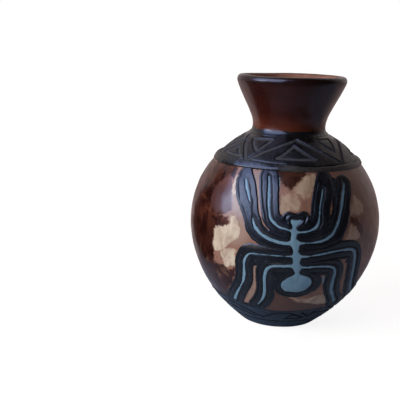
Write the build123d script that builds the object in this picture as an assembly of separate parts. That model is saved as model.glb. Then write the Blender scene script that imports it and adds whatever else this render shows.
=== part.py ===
from build123d import *

import math
import os

import numpy as np

# Globular burnished-clay vase with a flared neck, carved slip bands and a slip-painted spider.
#
# Built the way a potter builds it: a foot slab, two bowls, a collar and a rim coil, each
# luted to the next with a thin ring of slip, then coated with coloured slips on the outside.
#
# Millimetres. +Z up, origin on the resting plane under the widest part of the belly.
# The spider faces -Y.

# ---------------------------------------------------------------- driving dimensions
HEIGHT = 215.0  # resting plane to top of the lip
WALL = 6.5  # clay wall of the two bowls
FOOT_THICK = 9.0  # foot slab, up to the inside floor
LUTE = 0.8  # thickness of a luting ring
SLIP = 0.6  # thickness of a slip coat
Z_BOWL_JOINT = 70.0  # lower bowl meets upper bowl
Z_NECK_JOINT = 166.5  # upper bowl meets collar
Z_RIM_JOINT = 206.0  # collar meets rim coil
FOOT_EDGE_R = 1.2  # worn edge of the foot
SHOULDER_BAND = (142.5, 166.5)  # heights of the carved band on the shoulder
FOOT_BAND = (9.8, 25.0)  # heights of the carved band above the foot
OUTLINE = 7.0  # width of the dark slip border round the figure
GRID = 0.5  # sampling of the figure's outline
TOL = 0.28  # how closely the figure's outline is followed

# outside profile, (radius, height)
BODY = [
    (33.0, 0.0), (37.8, 4.0), (44.3, 9.8), (52.6, 18.0), (60.7, 28.0), (68.7, 40.0),
    (75.7, 55.0), (80.15, 70.0), (82.25, 90.0), (80.2, 108.0), (75.0, 124.0),
    (66.8, 138.0), (56.1, 150.0), (46.6, 158.0), (38.6, 163.2), (33.6, 166.5),
]
NECK = [
    (33.6, 166.5), (31.9, 168.6), (31.2, 172.5), (31.9, 177.5), (33.5, 182.0),
    (38.2, 192.0), (43.1, 202.0), (44.9, 206.0),
]
NECK_IN = [
    (37.4, 206.0), (36.0, 202.0), (32.0, 192.0), (28.4, 184.0), (26.0, 178.0),
    (25.0, 173.0), (25.1, 169.5), (26.0, 166.5),
]
RIM_OUT = [(44.9, 206.0), (46.0, 208.6), (46.4, 211.0), (45.3, 213.9), (42.4, 214.96)]
RIM_IN = [(42.4, 214.96), (39.3, 214.0), (37.9, 211.2), (37.5, 208.6), (37.4, 206.0)]

# The spider: strokes over the belly as (degrees round from the front, height, half width of
# the light slip).
SPIDER = {
    "front_leg_l": [(-19.4, 138.2, 0.71), (-18.2, 132.2, 0.94), (-17.5, 125, 1.02), (-16.8, 117.7, 0.94), (-16, 111.7, 0.86), (-14.9, 107.3, 0.94), (-12.8, 104.5, 1.09), (-10.2, 101.6, 0.93), (-6.9, 100.3, 0.7), (-2.5, 98.7, 0.93)],
    "second_leg_l": [(-34.8, 134.6, 0.56), (-32.5, 129, 1.03), (-29.8, 122.7, 0.79), (-28, 117.6, 0.4), (-26.5, 111.8, 0.4), (-25.1, 105.5, 0.71), (-23.9, 101.3, 1.1), (-22, 97.7, 1.26), (-19.3, 94.6, 1.25), (-15.8, 92.1, 1.25), (-11.9, 90.2, 1.25), (-7.6, 89.2, 1.25), (-2.2, 89.3, 1.56)],
    "third_leg_l": [(-1.2, 78.7, 0.78), (-6.1, 78.4, 0.4), (-11.6, 78.5, 0.43), (-17.1, 78.5, 0.4), (-21.1, 78.4, 0.4), (-25.5, 78, 0.63), (-27.8, 75.2, 0.96), (-29.3, 70.4, 0.96), (-29.8, 64, 0.96), (-30.1, 57.5, 1.05), (-31.4, 51.5, 0.89), (-34, 45.9, 0.57), (-37.8, 39.1, 0.75), (-43.9, 29.6, 1.35)],
    "hind_leg_l": [(-0.7, 70.1, 1.26), (-5.8, 69.9, 1.1), (-10.2, 69.6, 1.1), (-13.6, 68.6, 1.27), (-15.7, 66.1, 1.51), (-16.9, 61.4, 1.43), (-17.3, 53.8, 1.2), (-17.3, 46, 1.21), (-18.2, 39.6, 1.14), (-20.4, 34.2, 0.82), (-23.7, 29.5, 0.41)],
    "front_leg_r": [(16.1, 130.4, 0.4), (14.6, 124.6, 0.7), (13.2, 118.8, 0.55), (12.5, 112.9, 0.4), (12, 108.3, 0.62), (11.4, 104.5, 1.01), (10.1, 101.8, 1.17), (6.9, 99.5, 0.7), (3, 98.3, 0.54), (-0.3, 98, 0.78)],
    "second_leg_r": [(33.2, 133.2, 0.72), (30.7, 127.2, 1.35), (28.1, 120, 1.42), (26.2, 113.4, 1.1), (24.7, 107.4, 1.1), (23.1, 102.2, 1.26), (20.9, 96.9, 1.26), (17.5, 92.9, 1.26), (13.4, 90.7, 0.94), (8.3, 89.8, 0.62), (3.3, 89.5, 0.7), (0, 89.3, 1.56)],
    "third_leg_r": [(1.6, 78.5, 0.94), (6.1, 78.4, 0.71), (11.2, 79.3, 0.71), (16.4, 80.2, 0.71), (22, 81.3, 0.79), (28.1, 81.8, 0.96), (33.3, 81.4, 1.12), (36.7, 79.6, 1.37), (38.4, 75.6, 1.38), (39.6, 70, 1.22), (40.7, 63.3, 1.06), (42.3, 56.3, 1.07), (44.7, 49.8, 1.33), (48.3, 43.6, 1.51), (55.2, 36.6, 1.54)],
    "hind_leg_r": [(2.2, 69.2, 0.95), (7.4, 68.9, 0.75), (12.1, 69.2, 0.75), (17.9, 68.9, 0.8), (22.3, 67.9, 1.05), (25.0, 65.2, 1.4), (26.0, 60.3, 1.45), (26.2, 55.5, 1.45), (27.0, 49.6, 1.75), (28.8, 44.1, 1.55), (33.0, 37.9, 1.3), (39.8, 30.4, 1.43)],
    "trunk": [(-1.6, 104.6, 1.2), (-1.65, 102.4, 1.0), (-1.75, 100, 1.5), (-1.95, 97.8, 1.9), (-2.1, 95, 1.95), (-2, 92.6, 1.95), (-1.4, 89.5, 2.5), (-0.8, 87.2, 2.6), (-0.45, 85, 2.5), (-0.4, 83, 1.9), (-0.1, 81, 2.3), (0.2, 78.6, 2.8), (0.4, 75.4, 2.9), (0.45, 72.8, 2.6), (0.9, 69.6, 3.0), (1.25, 67, 2.5), (1.5, 65, 1.85), (1.65, 63.8, 1.5), (1.9, 62.2, 1.6)],
    "head": [(-3.3, 106.7, 1.05), (-2.5, 105.6, 1.7), (-1.2, 105.4, 1.8), (0.2, 106.1, 1.45), (1.3, 106.9, 0.9)],
    "abdomen": [(1.9, 60.6, 1.7), (-0.4, 56.4, 4.8), (-2.4, 52.4, 6.2), (0.4, 52.2, 6.8), (2.8, 52.2, 7.0), (5.4, 53.1, 6.7), (7.3, 55.2, 5.5), (5, 57.6, 4.2), (2.5, 59.8, 2.2)],
}
# Dark slip that spreads past the even border; half widths are less the border's width.
SPREAD = {
    "front_leg_r_top": [(16.1, 130.7, 0.0), (17.4, 134.4, 0.0), (19.0, 138.1, 0.0)],
    "front_leg_r_side": [(18.9, 135.2, -0.3), (18.0, 129.6, -0.2), (16.8, 122.3, -0.3), (15.2, 113.5, -0.8)],
    "between_legs_r": [(25.7, 136.1, -4.2), (24.3, 131.1, -4.0), (22.8, 125.6, -4.2)],
    "between_legs_r_low": [(18.6, 108.6, -4.8), (17.6, 105.6, -4.6)],
    "second_leg_r_side": [(28.4, 112.8, -0.1), (27.0, 107.6, -0.1), (25.6, 103.2, -0.1), (24.0, 99.2, -0.1), (23.1, 95.9, 0.0), (22.2, 91.8, 0.0)],
    "front_leg_l_top": [(-19.6, 138.5, -0.4), (-19.9, 141.0, -0.4)],
    "second_leg_l_top": [(-34.9, 134.6, -0.1), (-36.2, 138.5, -0.1)],
    "second_leg_l_side": [(-36.3, 133.9, -0.1), (-34.9, 128.6, -0.1), (-33.1, 123.4, -0.1), (-31.2, 119.3, -0.1), (-28.5, 113.8, -0.1), (-26.6, 108.9, -0.1), (-25.4, 104.2, -0.1)],
    "third_leg_l_top": [(-21.0, 79.5, -0.1), (-24.6, 79.7, -0.1), (-26.6, 79.0, -0.1), (-28.2, 77.2, -0.1), (-29.3, 73.5, -0.1)],
    "third_leg_l_inner": [(-23.4, 69.8, -4.6), (-21.2, 70.6, -4.8), (-19.6, 71.0, -4.8)],
    "leg_ends_l": [(-39.5, 24.2, -3.6), (-33.0, 25.8, -3.4), (-28.0, 26.2, -4.2)],
    "hind_leg_l_inner": [(-11.2, 61.8, -4.4), (-9.6, 59.4, -4.8)],
    "abdomen_side": [(12.4, 57.8, -0.7), (13.5, 54.4, -0.5), (12.3, 51.2, -0.7)],
    "third_leg_r_inner": [(32.8, 73.0, -6.0), (32.2, 70.6, -6.2)],
    "lobe_l": [(-5.2, 108.8, -1.9), (-5.1, 108.9, -1.9)],
    "lobe_r": [(3.0, 109.0, -1.9), (3.1, 109.1, -1.9)],
}
# Slivers of bare clay that the border leaves open.
BARE = {
    "between_legs_l": [(-30.1, 141.6, 2.4), (-28.0, 137.6, 1.8), (-25.9, 132.5, 1.25), (-24.1, 125.6, 1.0), (-22.6, 118.5, 0.95), (-21.3, 111.4, 0.9), (-20.0, 106.0, 0.8), (-18.5, 102.4, 0.7), (-16.1, 98.9, 0.35)],
    "between_legs_r": [(21.4, 122.5, 0.3), (20.9, 120.6, 0.55), (20.2, 117.6, 0.6), (19.6, 114.1, 0.55), (19.1, 111.5, 0.3)],
    "between_hind_l": [(-22.8, 66.4, 0.6), (-23.3, 62.4, 0.95), (-23.3, 57.4, 1.1), (-23.5, 51.8, 1.35), (-24.4, 46.9, 1.85), (-26.6, 41.4, 2.2), (-29.5, 36.0, 2.2), (-33.0, 30.9, 1.6)],
    "between_hind_r": [(33.2, 54.0, 1.2), (35.4, 49.0, 1.45), (38.1, 43.3, 1.4), (42.1, 38.1, 1.3)],
    "hind_leg_r_side": [(19.5, 49.3, 1.1), (20.5, 45.7, 1.4), (22.5, 41.4, 1.5), (25.6, 36.1, 1.7), (29.6, 30.3, 1.8)],
}
NARROWED = {"head": 1.5, "abdomen": 1.0}  # how much narrower the border is there
WEB = 1.0  # how far the light slip rounds the corners where its strokes meet
LEAST_BORDER = 1.2  # narrowest border beside the light slip


# ---------------------------------------------------------------- profiles
def outset(points, distance):
    """Points moved along the outward normal of the curve through them."""
    p = np.array(points, float)
    t = np.gradient(p, axis=0)
    t /= np.linalg.norm(t, axis=1)[:, None]
    n = np.stack([t[:, 1], -t[:, 0]], axis=1)
    return [tuple(x) for x in p + distance * n]


BODY_IN = [(35.2, 9.8)] + outset(BODY, -WALL)[3:14] + [(29.0, 162.6), (26.0, 166.5)]


def xz(points):
    return [Vector(r, 0, z) for r, z in points]


def line(a, b):
    return Edge.make_line(Vector(a[0], 0, a[1]), Vector(b[0], 0, b[1]))


def curve(points):
    return Edge.make_spline(xz(points))


def face(edges):
    return Face(Wire(edges))


def turned(section):
    return Solid.revolve(section, 360, Axis.Z)


def slab(z0, z1, size=400):
    """A wide block between two heights, to cut a turned shape into lengths."""
    return Solid.make_box(size, size, z1 - z0).moved(Location((-size / 2, -size / 2, z0)))


def one(shape):
    got = shape.solids() if hasattr(shape, "solids") else ShapeList(shape).solids()
    if len(got) != 1:
        raise ValueError(f"{len(got)} solids where one is wanted")
    return got[0]


# ---------------------------------------------------------------- clay sections
body_wall = turned(
    face([curve(BODY), line(BODY[-1], BODY_IN[-1]), curve(BODY_IN[::-1]), line(BODY_IN[0], (0, 9.8)), line((0, 9.8), (0, 0)), line((0, 0), BODY[0])])
)
neck_wall = turned(
    face([curve(NECK), line(NECK[-1], NECK_IN[0]), curve(NECK_IN), line(NECK_IN[-1], NECK[0])])
)
rim_wall = turned(face([curve(RIM_OUT), curve(RIM_IN), line(RIM_IN[-1], RIM_OUT[0])]))

floor_r = 35.2
foot_slab = one(body_wall & slab(-1, FOOT_THICK))
foot_slab = foot_slab.fillet(
    FOOT_EDGE_R, [e for e in foot_slab.edges() if e.center().Z < 0.01 and e.geom_type == GeomType.CIRCLE]
)
foot_lute = one((body_wall & slab(FOOT_THICK, FOOT_THICK + LUTE)) - Solid.make_cylinder(floor_r, 40))
lower_bowl = one(body_wall & slab(FOOT_THICK + LUTE, Z_BOWL_JOINT))
bowl_lute = one(body_wall & slab(Z_BOWL_JOINT, Z_BOWL_JOINT + LUTE))
upper_bowl = one(body_wall & slab(Z_BOWL_JOINT + LUTE, Z_NECK_JOINT))
neck_lute = one(neck_wall & slab(Z_NECK_JOINT, Z_NECK_JOINT + LUTE))
collar = one(neck_wall & slab(Z_NECK_JOINT + LUTE, Z_RIM_JOINT))
rim_lute = one(rim_wall & slab(Z_RIM_JOINT, Z_RIM_JOINT + LUTE))
rim_coil = one(rim_wall & slab(Z_RIM_JOINT + LUTE, HEIGHT + 5))

# ---------------------------------------------------------------- slip coats
skin_out = outset(BODY, SLIP)
skin = turned(face([curve(BODY), line(BODY[-1], skin_out[-1]), curve(skin_out[::-1]), line(skin_out[0], BODY[0])]))
shoulder_band = one(skin & slab(*SHOULDER_BAND))
foot_band = one(skin & slab(*FOOT_BAND))
figure_skin = one(skin & slab(FOOT_BAND[1] + 0.3, SHOULDER_BAND[0] - 0.3))

PROFILE_Z = np.array([z for _, z in BODY])
PROFILE_R = np.array([r for r, _ in BODY])


def radius_at(z):
    return np.interp(z, PROFILE_Z, PROFILE_R)


def smooth(points, step=0.4):
    """A curve through the stroke's points, sampled evenly."""
    p = np.array(points, float)
    q = np.concatenate([[2 * p[0] - p[1]], p, [2 * p[-1] - p[-2]]])
    got = []
    for i in range(1, len(q) - 2):
        span = math.hypot((q[i + 1, 0] - q[i, 0]) * 1.4, q[i + 1, 1] - q[i, 1])
        for t in np.linspace(0, 1, max(2, int(span / step)), endpoint=False):
            a, b, c, d = q[i - 1 : i + 3]
            got.append(0.5 * (2 * b + (c - a) * t + (2 * a - 5 * b + 4 * c - d) * t**2 + (3 * b - a - 3 * c + d) * t**3))
    got.append(p[-1])
    return np.array(got)


def place(angle, z):
    r, a = radius_at(z), np.radians(angle)
    return np.stack([r * np.sin(a), -r * np.cos(a), z], axis=-1)


def stroke_distance(at, stroke):
    """Distance from the edge of one stroke, below 0 inside it."""
    s = smooth(stroke)
    p, w = place(s[:, 0], s[:, 1]), s[:, 2]
    parts = [at[i : i + 4000] for i in range(0, len(at), 4000)]
    return np.concatenate([(np.linalg.norm(q[:, None] - p[None], axis=2) - w[None]).min(axis=1) for q in parts])


def distance_fields():
    """Distances from the edges of the light slip and of its border over a grid of the front view (x, z)."""
    x = np.arange(-72, 72.01, GRID)
    z = np.arange(FOOT_BAND[1] - 4, SHOULDER_BAND[0] + 4.01, GRID)
    gx, gz = np.meshgrid(x, z)
    gr = radius_at(gz)
    gy = -np.sqrt(np.clip(gr**2 - gx**2, 0.04 * gr**2, None))
    at = np.stack([gx, gy, gz], axis=-1).reshape(-1, 3)
    webbed = np.zeros(len(at))
    border = np.full(len(at), 1e9)
    for name, stroke in SPIDER.items():
        d = stroke_distance(at, stroke)
        webbed += np.exp(-np.minimum(d, 25.0) / WEB)
        border = np.minimum(border, d - OUTLINE + NARROWED.get(name, 0.0))
    for stroke in SPREAD.values():
        border = np.minimum(border, stroke_distance(at, stroke) - OUTLINE)
    for stroke in BARE.values():
        border = np.maximum(border, -stroke_distance(at, stroke))
    light = -WEB * np.log(webbed)
    border = np.minimum(border, light - LEAST_BORDER)
    for f in (light, border):
        f[np.abs(at[:, 0]) > 0.97 * gr.ravel()] = 50
    return x, z, light.reshape(gx.shape), border.reshape(gx.shape)


def contours(x, z, f):
    """Closed loops where f crosses zero, as lists of (x, z)."""
    f = np.where(np.abs(f) < 1e-6, 1e-6, f)
    f = np.pad(f, 1, constant_values=50.0)
    x = np.concatenate([[x[0] - GRID], x, [x[-1] + GRID]])
    z = np.concatenate([[z[0] - GRID], z, [z[-1] + GRID]])

    def cut(a, b):
        t = f[a] / (f[a] - f[b])
        return (x[a[1]] + t * (x[b[1]] - x[a[1]]), z[a[0]] + t * (z[b[0]] - z[a[0]]))

    links = {}
    rows, cols = f.shape
    for i in range(rows - 1):
        for j in range(cols - 1):
            c = [(i, j), (i, j + 1), (i + 1, j + 1), (i + 1, j)]
            inside = [f[k] < 0 for k in c]
            if all(inside) or not any(inside):
                continue
            crossed = [n for n in range(4) if inside[n] != inside[(n + 1) % 4]]
            if len(crossed) == 4 and not inside[0]:
                crossed = crossed[1:] + crossed[:1]
            for a, b in zip(crossed[::2], crossed[1::2]):
                ka = tuple(sorted((c[a], c[(a + 1) % 4])))
                kb = tuple(sorted((c[b], c[(b + 1) % 4])))
                links.setdefault(ka, []).append(kb)
                links.setdefault(kb, []).append(ka)
    loops = []
    while links:
        start = next(iter(links))
        loop, at = [start], start
        while True:
            nxt = links[at].pop()
            links[nxt].remove(at)
            if nxt == start:
                break
            loop.append(nxt)
            at = nxt
        for k in [k for k, v in links.items() if not v]:
            del links[k]
        loops.append([cut(*k) for k in loop])
    return loops


def thinned(loop, tol):
    """Fewer points, no further than tol from the loop."""
    p = np.array(loop)
    far = int(np.argmax(np.linalg.norm(p - p[0], axis=1)))

    def run(a):
        if len(a) < 3:
            return [a[0]]
        d = a[-1] - a[0]
        n = np.array([-d[1], d[0]]) / (np.linalg.norm(d) + 1e-12)
        off = np.abs((a - a[0]) @ n)
        k = int(np.argmax(off))
        return [a[0]] if off[k] < tol else run(a[: k + 1]) + run(a[k:])

    return run(p[: far + 1]) + run(np.concatenate([p[far:], p[:1]]))


def area(loop):
    p = np.array(loop)
    q = np.roll(p, -1, axis=0)
    return 0.5 * abs(np.sum(p[:, 0] * q[:, 1] - q[:, 0] * p[:, 1]))


def sheet(loops):
    """Faces in the front plane from outer loops and the holes inside them."""
    loops = sorted([l for l in loops if area(l) > 3.0], key=area, reverse=True)

    def inside(pt, loop):
        n, odd = len(loop), False
        for i in range(n):
            (x0, z0), (x1, z1) = loop[i], loop[(i + 1) % n]
            if (z0 > pt[1]) != (z1 > pt[1]) and pt[0] < x0 + (pt[1] - z0) / (z1 - z0) * (x1 - x0):
                odd = not odd
        return odd

    depth = [sum(inside(l[0], m) for m in loops[:i]) for i, l in enumerate(loops)]
    made = []
    for i, l in enumerate(loops):
        if depth[i] % 2:
            continue
        holes = [m for j, m in enumerate(loops) if depth[j] == depth[i] + 1 and inside(m[0], l)]
        wire = lambda m: Wire.make_polygon([Vector(a, 0, b) for a, b in m], close=True)
        made.append(Face(wire(l), [wire(m) for m in holes]))
    return made


def on_skin(loops):
    got = []
    for f in sheet(loops):
        prism = Solid.extrude(f, Vector(0, -120, 0))
        cut = prism & figure_skin
        got += cut.solids() if cut else []
    return [g for g in got if g.volume > 0.3]


gx, gz, light_field, border_field = distance_fields()
light_loops, dark_loops = (
    [thinned(l, TOL) for l in contours(gx, gz, f) if area(l) > 3.0]
    for f in (light_field, border_field)
)
light = on_skin(light_loops)
dark = on_skin(dark_loops + light_loops)
print("figure edges", sum(map(len, light_loops)), sum(map(len, dark_loops)), "solids", len(light), len(dark))

# ---------------------------------------------------------------- nodes
nodes = {
    "foot_slab": foot_slab,
    "foot_luting_ring": foot_lute,
    "lower_bowl": lower_bowl,
    "bowl_luting_ring": bowl_lute,
    "upper_bowl": upper_bowl,
    "neck_luting_ring": neck_lute,
    "neck_collar": collar,
    "rim_luting_ring": rim_lute,
    "rim_coil": rim_coil,
    "shoulder_band_slip": shoulder_band,
    "foot_band_slip": foot_band,
    "spider_outline_slip": Compound(children=dark),
    "spider_fill_slip": Compound(children=light),
}
os.makedirs("parts", exist_ok=True)
for name, shape in nodes.items():
    export_step(shape, f"parts/{name}.step")
    print(name, round(shape.volume), [round(v, 2) for v in (*shape.bounding_box().min, *shape.bounding_box().max)])
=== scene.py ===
"""Looks of a burnished, carved and slip-painted clay vase.

Everything is modelled in millimetres round the vessel's axis and written to the meshes in metres.
Angles are degrees round the axis, 0 at the front (-Y) and positive towards +X.
"""

import math

import bmesh
import bpy
import numpy as np
from mathutils import Matrix, Vector


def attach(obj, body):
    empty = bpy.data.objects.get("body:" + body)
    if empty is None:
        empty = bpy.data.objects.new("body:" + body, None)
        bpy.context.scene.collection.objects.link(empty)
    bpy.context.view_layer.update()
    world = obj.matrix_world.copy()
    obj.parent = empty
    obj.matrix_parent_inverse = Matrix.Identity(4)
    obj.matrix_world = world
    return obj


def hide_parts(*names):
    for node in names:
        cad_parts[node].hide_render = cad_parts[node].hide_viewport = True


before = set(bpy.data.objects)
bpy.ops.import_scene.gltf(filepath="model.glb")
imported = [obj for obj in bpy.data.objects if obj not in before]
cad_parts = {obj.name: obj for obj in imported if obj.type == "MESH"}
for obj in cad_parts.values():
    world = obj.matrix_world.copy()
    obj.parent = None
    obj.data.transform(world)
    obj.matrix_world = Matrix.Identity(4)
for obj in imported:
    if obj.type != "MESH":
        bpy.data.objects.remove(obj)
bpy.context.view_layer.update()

# ------------------------------------------------------------------ profile of the clay
BODY = [
    (33.0, 0.0), (37.8, 4.0), (44.3, 9.8), (52.6, 18.0), (60.7, 28.0), (68.7, 40.0),
    (75.7, 55.0), (80.15, 70.0), (82.25, 90.0), (80.2, 108.0), (75.0, 124.0),
    (66.8, 138.0), (56.1, 150.0), (46.6, 158.0), (38.6, 163.2), (33.6, 166.5),
]
NECK = [
    (33.6, 166.5), (31.9, 168.6), (31.2, 172.5), (31.9, 177.5), (33.5, 182.0),
    (38.2, 192.0), (43.1, 202.0), (44.9, 206.0),
]
RIM_OUT = [(46.0, 208.6), (46.4, 211.0), (45.3, 213.9), (42.4, 214.96)]
RIM_IN = [(39.3, 214.0), (37.9, 211.2), (37.5, 208.6), (37.4, 206.0)]
NECK_IN = [
    (36.0, 202.0), (32.0, 192.0), (28.4, 184.0), (26.0, 178.0), (25.0, 173.0),
    (25.1, 169.5), (26.0, 166.5),
]
LEAN_UP, LEAN_DOWN = 0.020, -0.022  # sideways run of a hand-built pot, per mm of height
LEAN_DIR = (0.9903, -0.1389)


def spline(points, n):
    """A smooth curve through the points, evenly sampled along its chords."""
    p = np.array(points, float)
    d = np.r_[0, np.cumsum(np.linalg.norm(np.diff(p, axis=0), axis=1))]
    h, m = np.diff(d), len(p)
    a, b = np.eye(m), np.zeros((m, 2))
    for i in range(1, m - 1):
        a[i, i - 1 : i + 2] = h[i - 1], 2 * (h[i - 1] + h[i]), h[i]
        b[i] = 6 * ((p[i + 1] - p[i]) / h[i] - (p[i] - p[i - 1]) / h[i - 1])
    k2 = np.linalg.solve(a, b)
    t = np.linspace(0, d[-1], n)
    k = np.clip(np.searchsorted(d, t) - 1, 0, m - 2)
    u, v, hk = (d[k + 1] - t)[:, None], (t - d[k])[:, None], h[k][:, None]
    return (k2[k] * u**3 + k2[k + 1] * v**3) / (6 * hk) + (p[k] / hk - k2[k] * hk / 6) * u + (p[k + 1] / hk - k2[k + 1] * hk / 6) * v


def inset(points, distance):
    p = np.array(points, float)
    t = np.gradient(p, axis=0)
    t /= np.linalg.norm(t, axis=1)[:, None]
    return [tuple(x) for x in p - distance * np.stack([t[:, 1], -t[:, 0]], axis=1)]


BODY_IN = ([(35.2, 9.8)] + inset(BODY, 6.5)[3:14] + [(29.0, 162.6), (26.0, 166.5)])[::-1]
PATH = spline(BODY + NECK[1:] + RIM_OUT + RIM_IN + NECK_IN + BODY_IN[1:], 12000)
PS = np.r_[0, np.cumsum(np.linalg.norm(np.diff(PATH, axis=0), axis=1))]
PT = np.gradient(PATH, PS, axis=0)
PT /= np.linalg.norm(PT, axis=1)[:, None]
PN = np.stack([PT[:, 1], -PT[:, 0]], axis=1)  # out of the clay
TOP = int(np.argmax(PATH[:, 1]))


def s_out(z):
    return np.interp(z, PATH[: TOP + 1, 1], PS[: TOP + 1])


def s_in(z):
    return np.interp(-np.asarray(z, float), -PATH[TOP:, 1], PS[TOP:])


def on_path(s):
    """Radius, height and outward normal along the profile."""
    return tuple(np.interp(s, PS, c) for c in (PATH[:, 0], PATH[:, 1], PN[:, 0], PN[:, 1]))


def radius_at(z):
    return np.interp(z, PATH[: TOP + 1, 1], PATH[: TOP + 1, 0])


def lean(z):
    up = np.logaddexp(0, (z - 162) / 4) * 4 * LEAN_UP
    down = np.logaddexp(0, (68 - z) / 8) * 8 * LEAN_DOWN
    return up + down


def to_metres(r, angle, z):
    """Points of the leaning pot from radius, angle and height."""
    a, o = np.radians(angle), lean(z)
    return np.stack([r * np.sin(a) + o * LEAN_DIR[0], -r * np.cos(a) + o * LEAN_DIR[1], z + 0 * a], axis=-1) * 0.001


rng = np.random.default_rng(7)


def waves(seed, scale, n=14):
    """A smooth random field over space, about -1 to 1; scale is the size of its waves in mm."""
    g = np.random.default_rng(seed)
    k = g.normal(size=(n, 3)) * 2 * math.pi / (scale * 1.8)
    ph = g.uniform(0, 2 * math.pi, n)

    def f(p):
        return np.sin(p @ k.T + ph).sum(axis=-1) * math.sqrt(2.0 / n) * 0.8

    return f


def xyz(r, angle, z):
    a = np.radians(angle)
    return np.stack([r * np.sin(a), -r * np.cos(a), z + 0 * a], axis=-1)


def step(x, lo, hi):
    t = np.clip((x - lo) / (hi - lo), 0, 1)
    return t * t * (3 - 2 * t)


# ------------------------------------------------------------------ meshes
def make_mesh(name, verts, faces, uvs, attrs, sharp_deg=38.0):
    me = bpy.data.meshes.new(name)
    me.from_pydata([tuple(v) for v in verts], [], faces)
    layer = me.uv_layers.new(name="OFBake")
    layer.data.foreach_set("uv", np.asarray(uvs, np.float32).ravel())
    for key, values in attrs.items():
        a = me.attributes.new(key, "FLOAT", "POINT")
        a.data.foreach_set("value", np.asarray(values, np.float32).ravel())
    me.validate(clean_customdata=False)
    bm = bmesh.new()
    bm.from_mesh(me)
    bmesh.ops.recalc_face_normals(bm, faces=bm.faces)
    for f in bm.faces:
        f.smooth = True
    lim = math.radians(sharp_deg)
    for e in bm.edges:
        if len(e.link_faces) == 2:
            e.smooth = e.calc_face_angle(0.0) < lim
    bm.to_mesh(me)
    bm.free()
    ob = bpy.data.objects.new(name, me)
    bpy.context.scene.collection.objects.link(ob)
    return ob


def ring_mesh(name, angle, r, z, attrs=None, poles=None, sharp_deg=38.0):
    """A skin round the axis from rows of (r, z), closed into a tube of rows, or by two poles."""
    rows, cols = r.shape
    p = to_metres(r, angle[None, :] + 0 * r, z)
    verts = p.reshape(-1, 3)
    per = np.r_[0, np.cumsum(np.linalg.norm(np.diff(p[:, 0], axis=0), axis=1))]
    last = np.linalg.norm(p[0, 0] - p[-1, 0]) if poles is None else 0
    v = np.r_[per, per[-1] + last] / (per[-1] + last + 1e-12)
    u = np.r_[angle, angle[0] + 360.0]
    u = (u - u[0]) / 360.0
    n = rows if poles is None else rows - 1
    i, j = np.meshgrid(np.arange(n), np.arange(cols), indexing="ij")
    i2, j2 = (i + 1) % rows, (j + 1) % cols
    faces = np.stack([i * cols + j, i * cols + j2, i2 * cols + j2, i2 * cols + j], axis=-1).reshape(-1, 4).tolist()
    uv = np.stack([u[j], v[i], u[j + 1], v[i], u[j + 1], v[i + 1], u[j], v[i + 1]], axis=-1).reshape(-1, 2)
    extra = {k: np.asarray(a).reshape(-1) for k, a in (attrs or {}).items()}
    if poles is not None:
        base = len(verts)
        verts = np.concatenate([verts, to_metres(np.zeros(2), np.zeros(2), np.array(poles, float))])
        uvx = []
        for row, pole in ((0, base), (rows - 1, base + 1)):
            for c in range(cols):
                faces.append([row * cols + c, row * cols + (c + 1) % cols, pole])
                w = 0.0 if row == 0 else 1.0
                uvx += [(u[c], w), (u[c + 1], w), ((u[c] + u[c + 1]) / 2, w)]
        uv = np.concatenate([uv, np.array(uvx)])
        extra = {k: np.r_[a, a[0], a[-1]] for k, a in extra.items()}
    return make_mesh(name, verts, faces, uv, extra, sharp_deg)


def patch_mesh(name, angle, s, field, top, bottom, attrs=None):
    """A thin closed coat over the part of the grid where field < 0, cut along field = 0."""
    rows, cols = field.shape
    f = np.where(np.abs(field) < 1e-5, 1e-5, field)
    node, keys, w = {}, [], []

    def corner(i, j):
        k = (i, j, i, j)
        if k not in node:
            node[k] = len(keys)
            keys.append(k)
            w.append(0.0)
        return node[k]

    def cut(a, b):
        k = (*min(a, b), *max(a, b))
        if k not in node:
            lo, hi = (k[0], k[1]), (k[2], k[3])
            node[k] = len(keys)
            keys.append(k)
            w.append(float(f[lo] / (f[lo] - f[hi])))
        return node[k]

    inside = f < 0
    count = inside[:-1, :-1].astype(int) + inside[1:, :-1] + inside[:-1, 1:] + inside[1:, 1:]
    polys = []
    for i, j in np.argwhere(count > 0):
        c = [(i, j), (i, j + 1), (i + 1, j + 1), (i + 1, j)]
        if count[i, j] == 4:
            polys.append([corner(*q) for q in c])
            continue
        got = []
        for n in range(4):
            a, b = c[n], c[(n + 1) % 4]
            if inside[a]:
                got.append(corner(*a))
            if inside[a] != inside[b]:
                got.append(cut(a, b))
        if len(got) >= 3:
            polys.append(got)
    k, w = np.array(keys), np.array(w)

    def pick(grid):
        return grid[k[:, 0], k[:, 1]] * (1 - w) + grid[k[:, 2], k[:, 3]] * w

    ga, gs = np.meshgrid(angle, s)
    a, ss = pick(ga), pick(gs)
    r, z, nr, nz = on_path(ss)
    out = []
    for h in (pick(top), pick(bottom)):
        out.append(to_metres(r + nr * h, a, z + nz * h))
    m = len(k)
    verts = np.concatenate(out)
    ua = (a - angle[0]) / (angle[-1] - angle[0])
    va = (ss - s[0]) / (s[-1] - s[0])
    uva = np.concatenate([np.stack([ua, va * 0.49], 1), np.stack([ua, 0.51 + va * 0.49], 1)])
    faces, uv, edges = [], [], {}
    for p in polys:
        faces.append(p)
        uv += [uva[x] for x in p]
        for x, y in zip(p, p[1:] + p[:1]):
            edges[(x, y)] = 1
    for p in polys:
        q = [x + m for x in p[::-1]]
        faces.append(q)
        uv += [uva[x] for x in q]
    for x, y in edges:
        if (y, x) not in edges:
            faces.append([y, x, x + m, y + m])
            uv += [uva[y], uva[x], uva[x] * [1, 1] + [0, 0.002], uva[y] * [1, 1] + [0, 0.002]]
    extra = {key: np.tile(pick(g), 2) for key, g in (attrs or {}).items()}
    return make_mesh(name, verts, faces, uv, extra, 50.0)


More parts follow.
